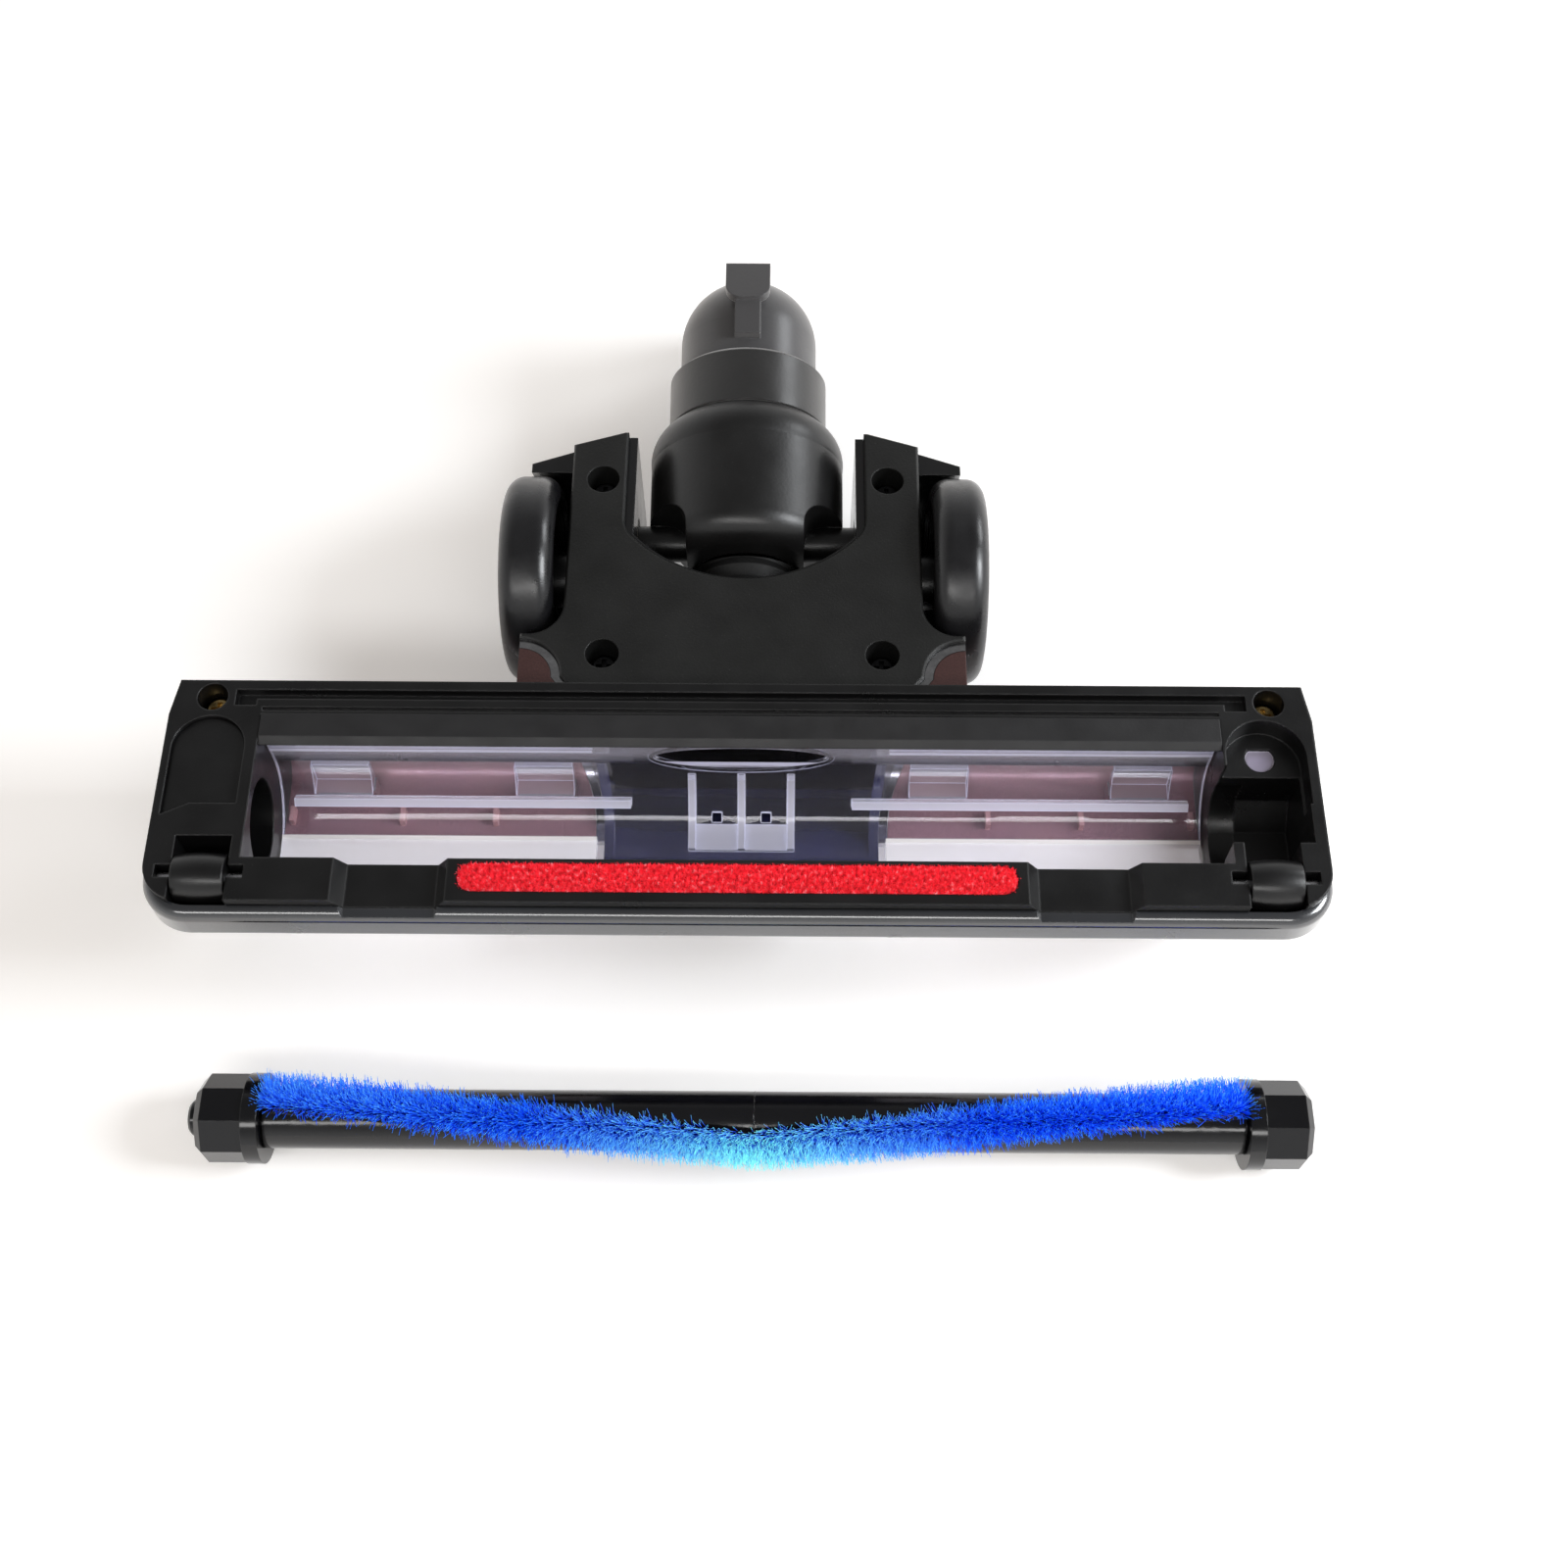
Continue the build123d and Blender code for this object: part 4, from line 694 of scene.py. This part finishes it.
def velourFinish():
    paint = velourPaint
    finish, tree, shader = newFinish("velourRed")
    spotX, spotY, _ = splitAxes(tree, objectCoords(tree))
    patches = grain(tree, flatCoords(tree, spotX, spotY), paint["patches"])
    join(tree, ramp(tree, patches, paint["reds"]), shader.inputs["Base Color"])
    shader.inputs["Roughness"].default_value = paint["rough"]
    shader.inputs["Sheen Weight"].default_value = paint["sheen"]
    paleShadow(tree, shader, paint["shadowPass"])
    return finish


finishes["velourRed"] = velourFinish()


def makePatch(draw, deep):
    look = velourLook
    bm = bmesh.new()
    for _ in range(look["perPatch"]):
        across = draw.uniform(-0.5, 0.5)
        drop = look["sideDrop"] * abs(2 * across) ** 3
        height = look["pile"] * draw.uniform(*look["piles"]) * (1 - drop)
        wide = look["fibre"] * draw.uniform(*look["widths"])
        spot = Matrix.Translation((draw.uniform(-0.5, 0.5) * look["patch"], across * deep, 0))
        tip = Matrix.Rotation(math.radians(draw.gauss(0, look["lean"])), 4, "X")
        sway = Matrix.Rotation(math.radians(draw.gauss(0, look["lean"])), 4, "Y")
        addFibre(bm, spot @ tip @ sway, wide, look["taper"], height)
    return toMesh("pilePatch", bm)


def mapPile(bm, low, high):
    layer = bm.loops.layers.uv.new("OFBake")    # the strip in plan
    for face in bm.faces:
        for loop in face.loops:
            spot = loop.vert.co
            loop[layer].uv = ((spot.x - low.x) / (high.x - low.x), (spot.y - low.y) / (high.y - low.y))


def lintPile():
    look = velourLook
    draw = random.Random(look["seed"])
    low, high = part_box("lint_strip")
    middle, size = (low + high) / 2, high - low
    half = size.y / 2    # radius of the strip's round ends
    top = high.z - look["pile"]
    bm = mergedCopy("lint_strip", look["merge"])
    upper = [vert for vert in bm.verts if vert.co.z > top]
    bmesh.ops.translate(bm, verts=upper, vec=(0, 0, look["sunk"] - look["pile"]))
    patches = [makePatch(draw, size.y - 2 * look["inset"]) for _ in range(look["variants"])]
    count = int((size.x - 2 * look["inset"]) / look["patch"])
    for index in range(count):
        x = middle.x + (index - (count - 1) / 2) * look["patch"]
        past = max(abs(x) - (high.x - half), 0.0)
        narrow = max(math.sqrt(max(half * half - past * past, 0.0)) / half, look["endShare"])
        spot = Matrix.Translation((x, middle.y, top))
        addCopy(bm, draw.choice(patches), spot @ Matrix.Diagonal((1, narrow, 1, 1)))
    for patch in patches:
        bpy.data.meshes.remove(patch)
    mapPile(bm, low, high)
    piece = addPiece("lintPile", bm, finishes["velourRed"])
    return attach(standIn(piece, "lint_strip"), "head")


pile = lintPile()
print("lint strip:", len(pile.data.polygons), "faces")


# Table: white, with the lamps' shadow kept; its lift grows with distance, out of the lamps' light
floorLook = {"size": 3.0, "color": (0.9, 0.9, 0.9), "drift": 6.0, "dark": 0.99, "rough": 0.6, "shine": 0.2,
             "lift": 0.28, "farLift": 0.8, "reach": (0.25, 1.2)}


def seenRays(tree):
    rays = addNode(tree, "ShaderNodeLightPath").outputs
    mirrored = either(tree, rays["Is Glossy Ray"], rays["Is Transmission Ray"])
    return either(tree, rays["Is Camera Ray"], mirrored)


def floorFinish():
    finish, tree, shader = newFinish("tableWhite")
    coords = objectCoords(tree)
    dark, light = shades(floorLook["color"], floorLook["dark"], 1.0)
    drift = grain(tree, coords, floorLook["drift"])
    join(tree, ramp(tree, drift, [(0.3, dark), (0.7, light)]), shader.inputs["Base Color"])
    away = addNode(tree, "ShaderNodeVectorMath", operation="LENGTH")
    join(tree, coords, away.inputs[0])
    near, far = floorLook["lift"], floorLook["farLift"]
    lift = stretch(tree, away.outputs["Value"], *floorLook["reach"], near, far)
    join(tree, both(tree, seenRays(tree), lift), shader.inputs["Emission Strength"])
    shader.inputs["Emission Color"].default_value = (1.0, 1.0, 1.0, 1.0)
    shader.inputs["Roughness"].default_value = floorLook["rough"]
    shader.inputs["Specular IOR Level"].default_value = floorLook["shine"]
    return finish


def makeFloor():
    bm = bmesh.new()
    bmesh.ops.create_grid(bm, x_segments=1, y_segments=1, size=floorLook["size"])
    addPiece("tableTop", bm, floorFinish())


makeFloor()
print("table set")

# Light: two soft sources from the right, a wide weak one in front, a white room darker overhead and behind
lightLook = {
    "key": {"place": (0.8, -0.12, 0.62), "size": (0.34, 0.34), "power": 8.2, "color": (0.94, 0.97, 1.0)},
    "side": {"place": (0.78, 0.48, 0.5), "size": (0.3, 0.3), "power": 2.2, "color": (0.94, 0.97, 1.0)},
    "front": {"place": (-0.1, -0.85, 1.0), "size": (1.3, 0.2), "power": 5.8, "color": (1.0, 0.99, 0.98)},
}
lightAim = (0.0, 0.0, 0.03)
roomLook = {"color": (1.0, 0.88, 0.77), "front": 0.54, "rear": 0.24, "frontToRear": (-0.6, 0.6),
            "wall": 1.0, "ceiling": 0.2, "wallToCeiling": (0.15, 0.85)}


def makeLight(name, look):
    lamp = bpy.data.lights.new(name, "AREA")
    lamp.shape = "RECTANGLE"
    lamp.size, lamp.size_y = look["size"]
    lamp.energy = look["power"]
    lamp.color = look["color"]
    light = bpy.data.objects.new(name, lamp)
    scene.collection.objects.link(light)
    light.location = look["place"]
    aim = Vector(lightAim) - Vector(look["place"])
    light.rotation_euler = aim.to_track_quat("-Z", "Y").to_euler()


def makeRoom():
    world = bpy.data.worlds.new("whiteRoom")
    scene.world = world
    world.use_nodes = True
    tree = world.node_tree
    backdrop = tree.nodes["Background"]
    seen = seenRays(tree)    # seen and mirrored rays meet white walls, the rest the room's warm light
    _, towardY, towardZ = splitAxes(tree, addNode(tree, "ShaderNodeTexCoord").outputs["Generated"])
    walls = stretch(tree, towardZ, *roomLook["wallToCeiling"], roomLook["wall"], roomLook["ceiling"])
    glow = stretch(tree, towardY, *roomLook["frontToRear"], roomLook["front"], roomLook["rear"])
    strength = addNode(tree, "ShaderNodeMix", data_type="FLOAT")
    join(tree, seen, strength.inputs["Factor"])
    join(tree, glow, strength.inputs[2])
    join(tree, walls, strength.inputs[3])
    join(tree, strength.outputs[0], backdrop.inputs["Strength"])
    join(tree, blendColor(tree, seen, roomLook["color"], (1.0, 1.0, 1.0)), backdrop.inputs["Color"])


for name, look in lightLook.items():
    makeLight(name + "Light", look)
makeRoom()
print("light set")

# Camera in front of the nose, looking down on the sole
cameraLook = {"target": (0.010, headLine, 0.050), "rise": 62.0, "distance": 0.440, "roll": 0.38,
              "lens": 45.0, "sensor": 36.0, "nearest": 0.01}


def makeCamera():
    lens = bpy.data.cameras.new("photoCamera")
    lens.lens = cameraLook["lens"]
    lens.sensor_width = cameraLook["sensor"]
    lens.clip_start = cameraLook["nearest"]
    camera = bpy.data.objects.new("photoCamera", lens)
    scene.collection.objects.link(camera)
    rise = math.radians(cameraLook["rise"])
    back = Vector((0.0, -math.cos(rise), math.sin(rise)))
    camera.location = Vector(cameraLook["target"]) + back * cameraLook["distance"]
    tilt = Matrix.Rotation(math.pi / 2 - rise, 3, "X")
    roll = Matrix.Rotation(math.radians(cameraLook["roll"]), 3, "Z")
    camera.rotation_euler = (tilt @ roll).to_euler()
    scene.camera = camera


makeCamera()
print("camera set")
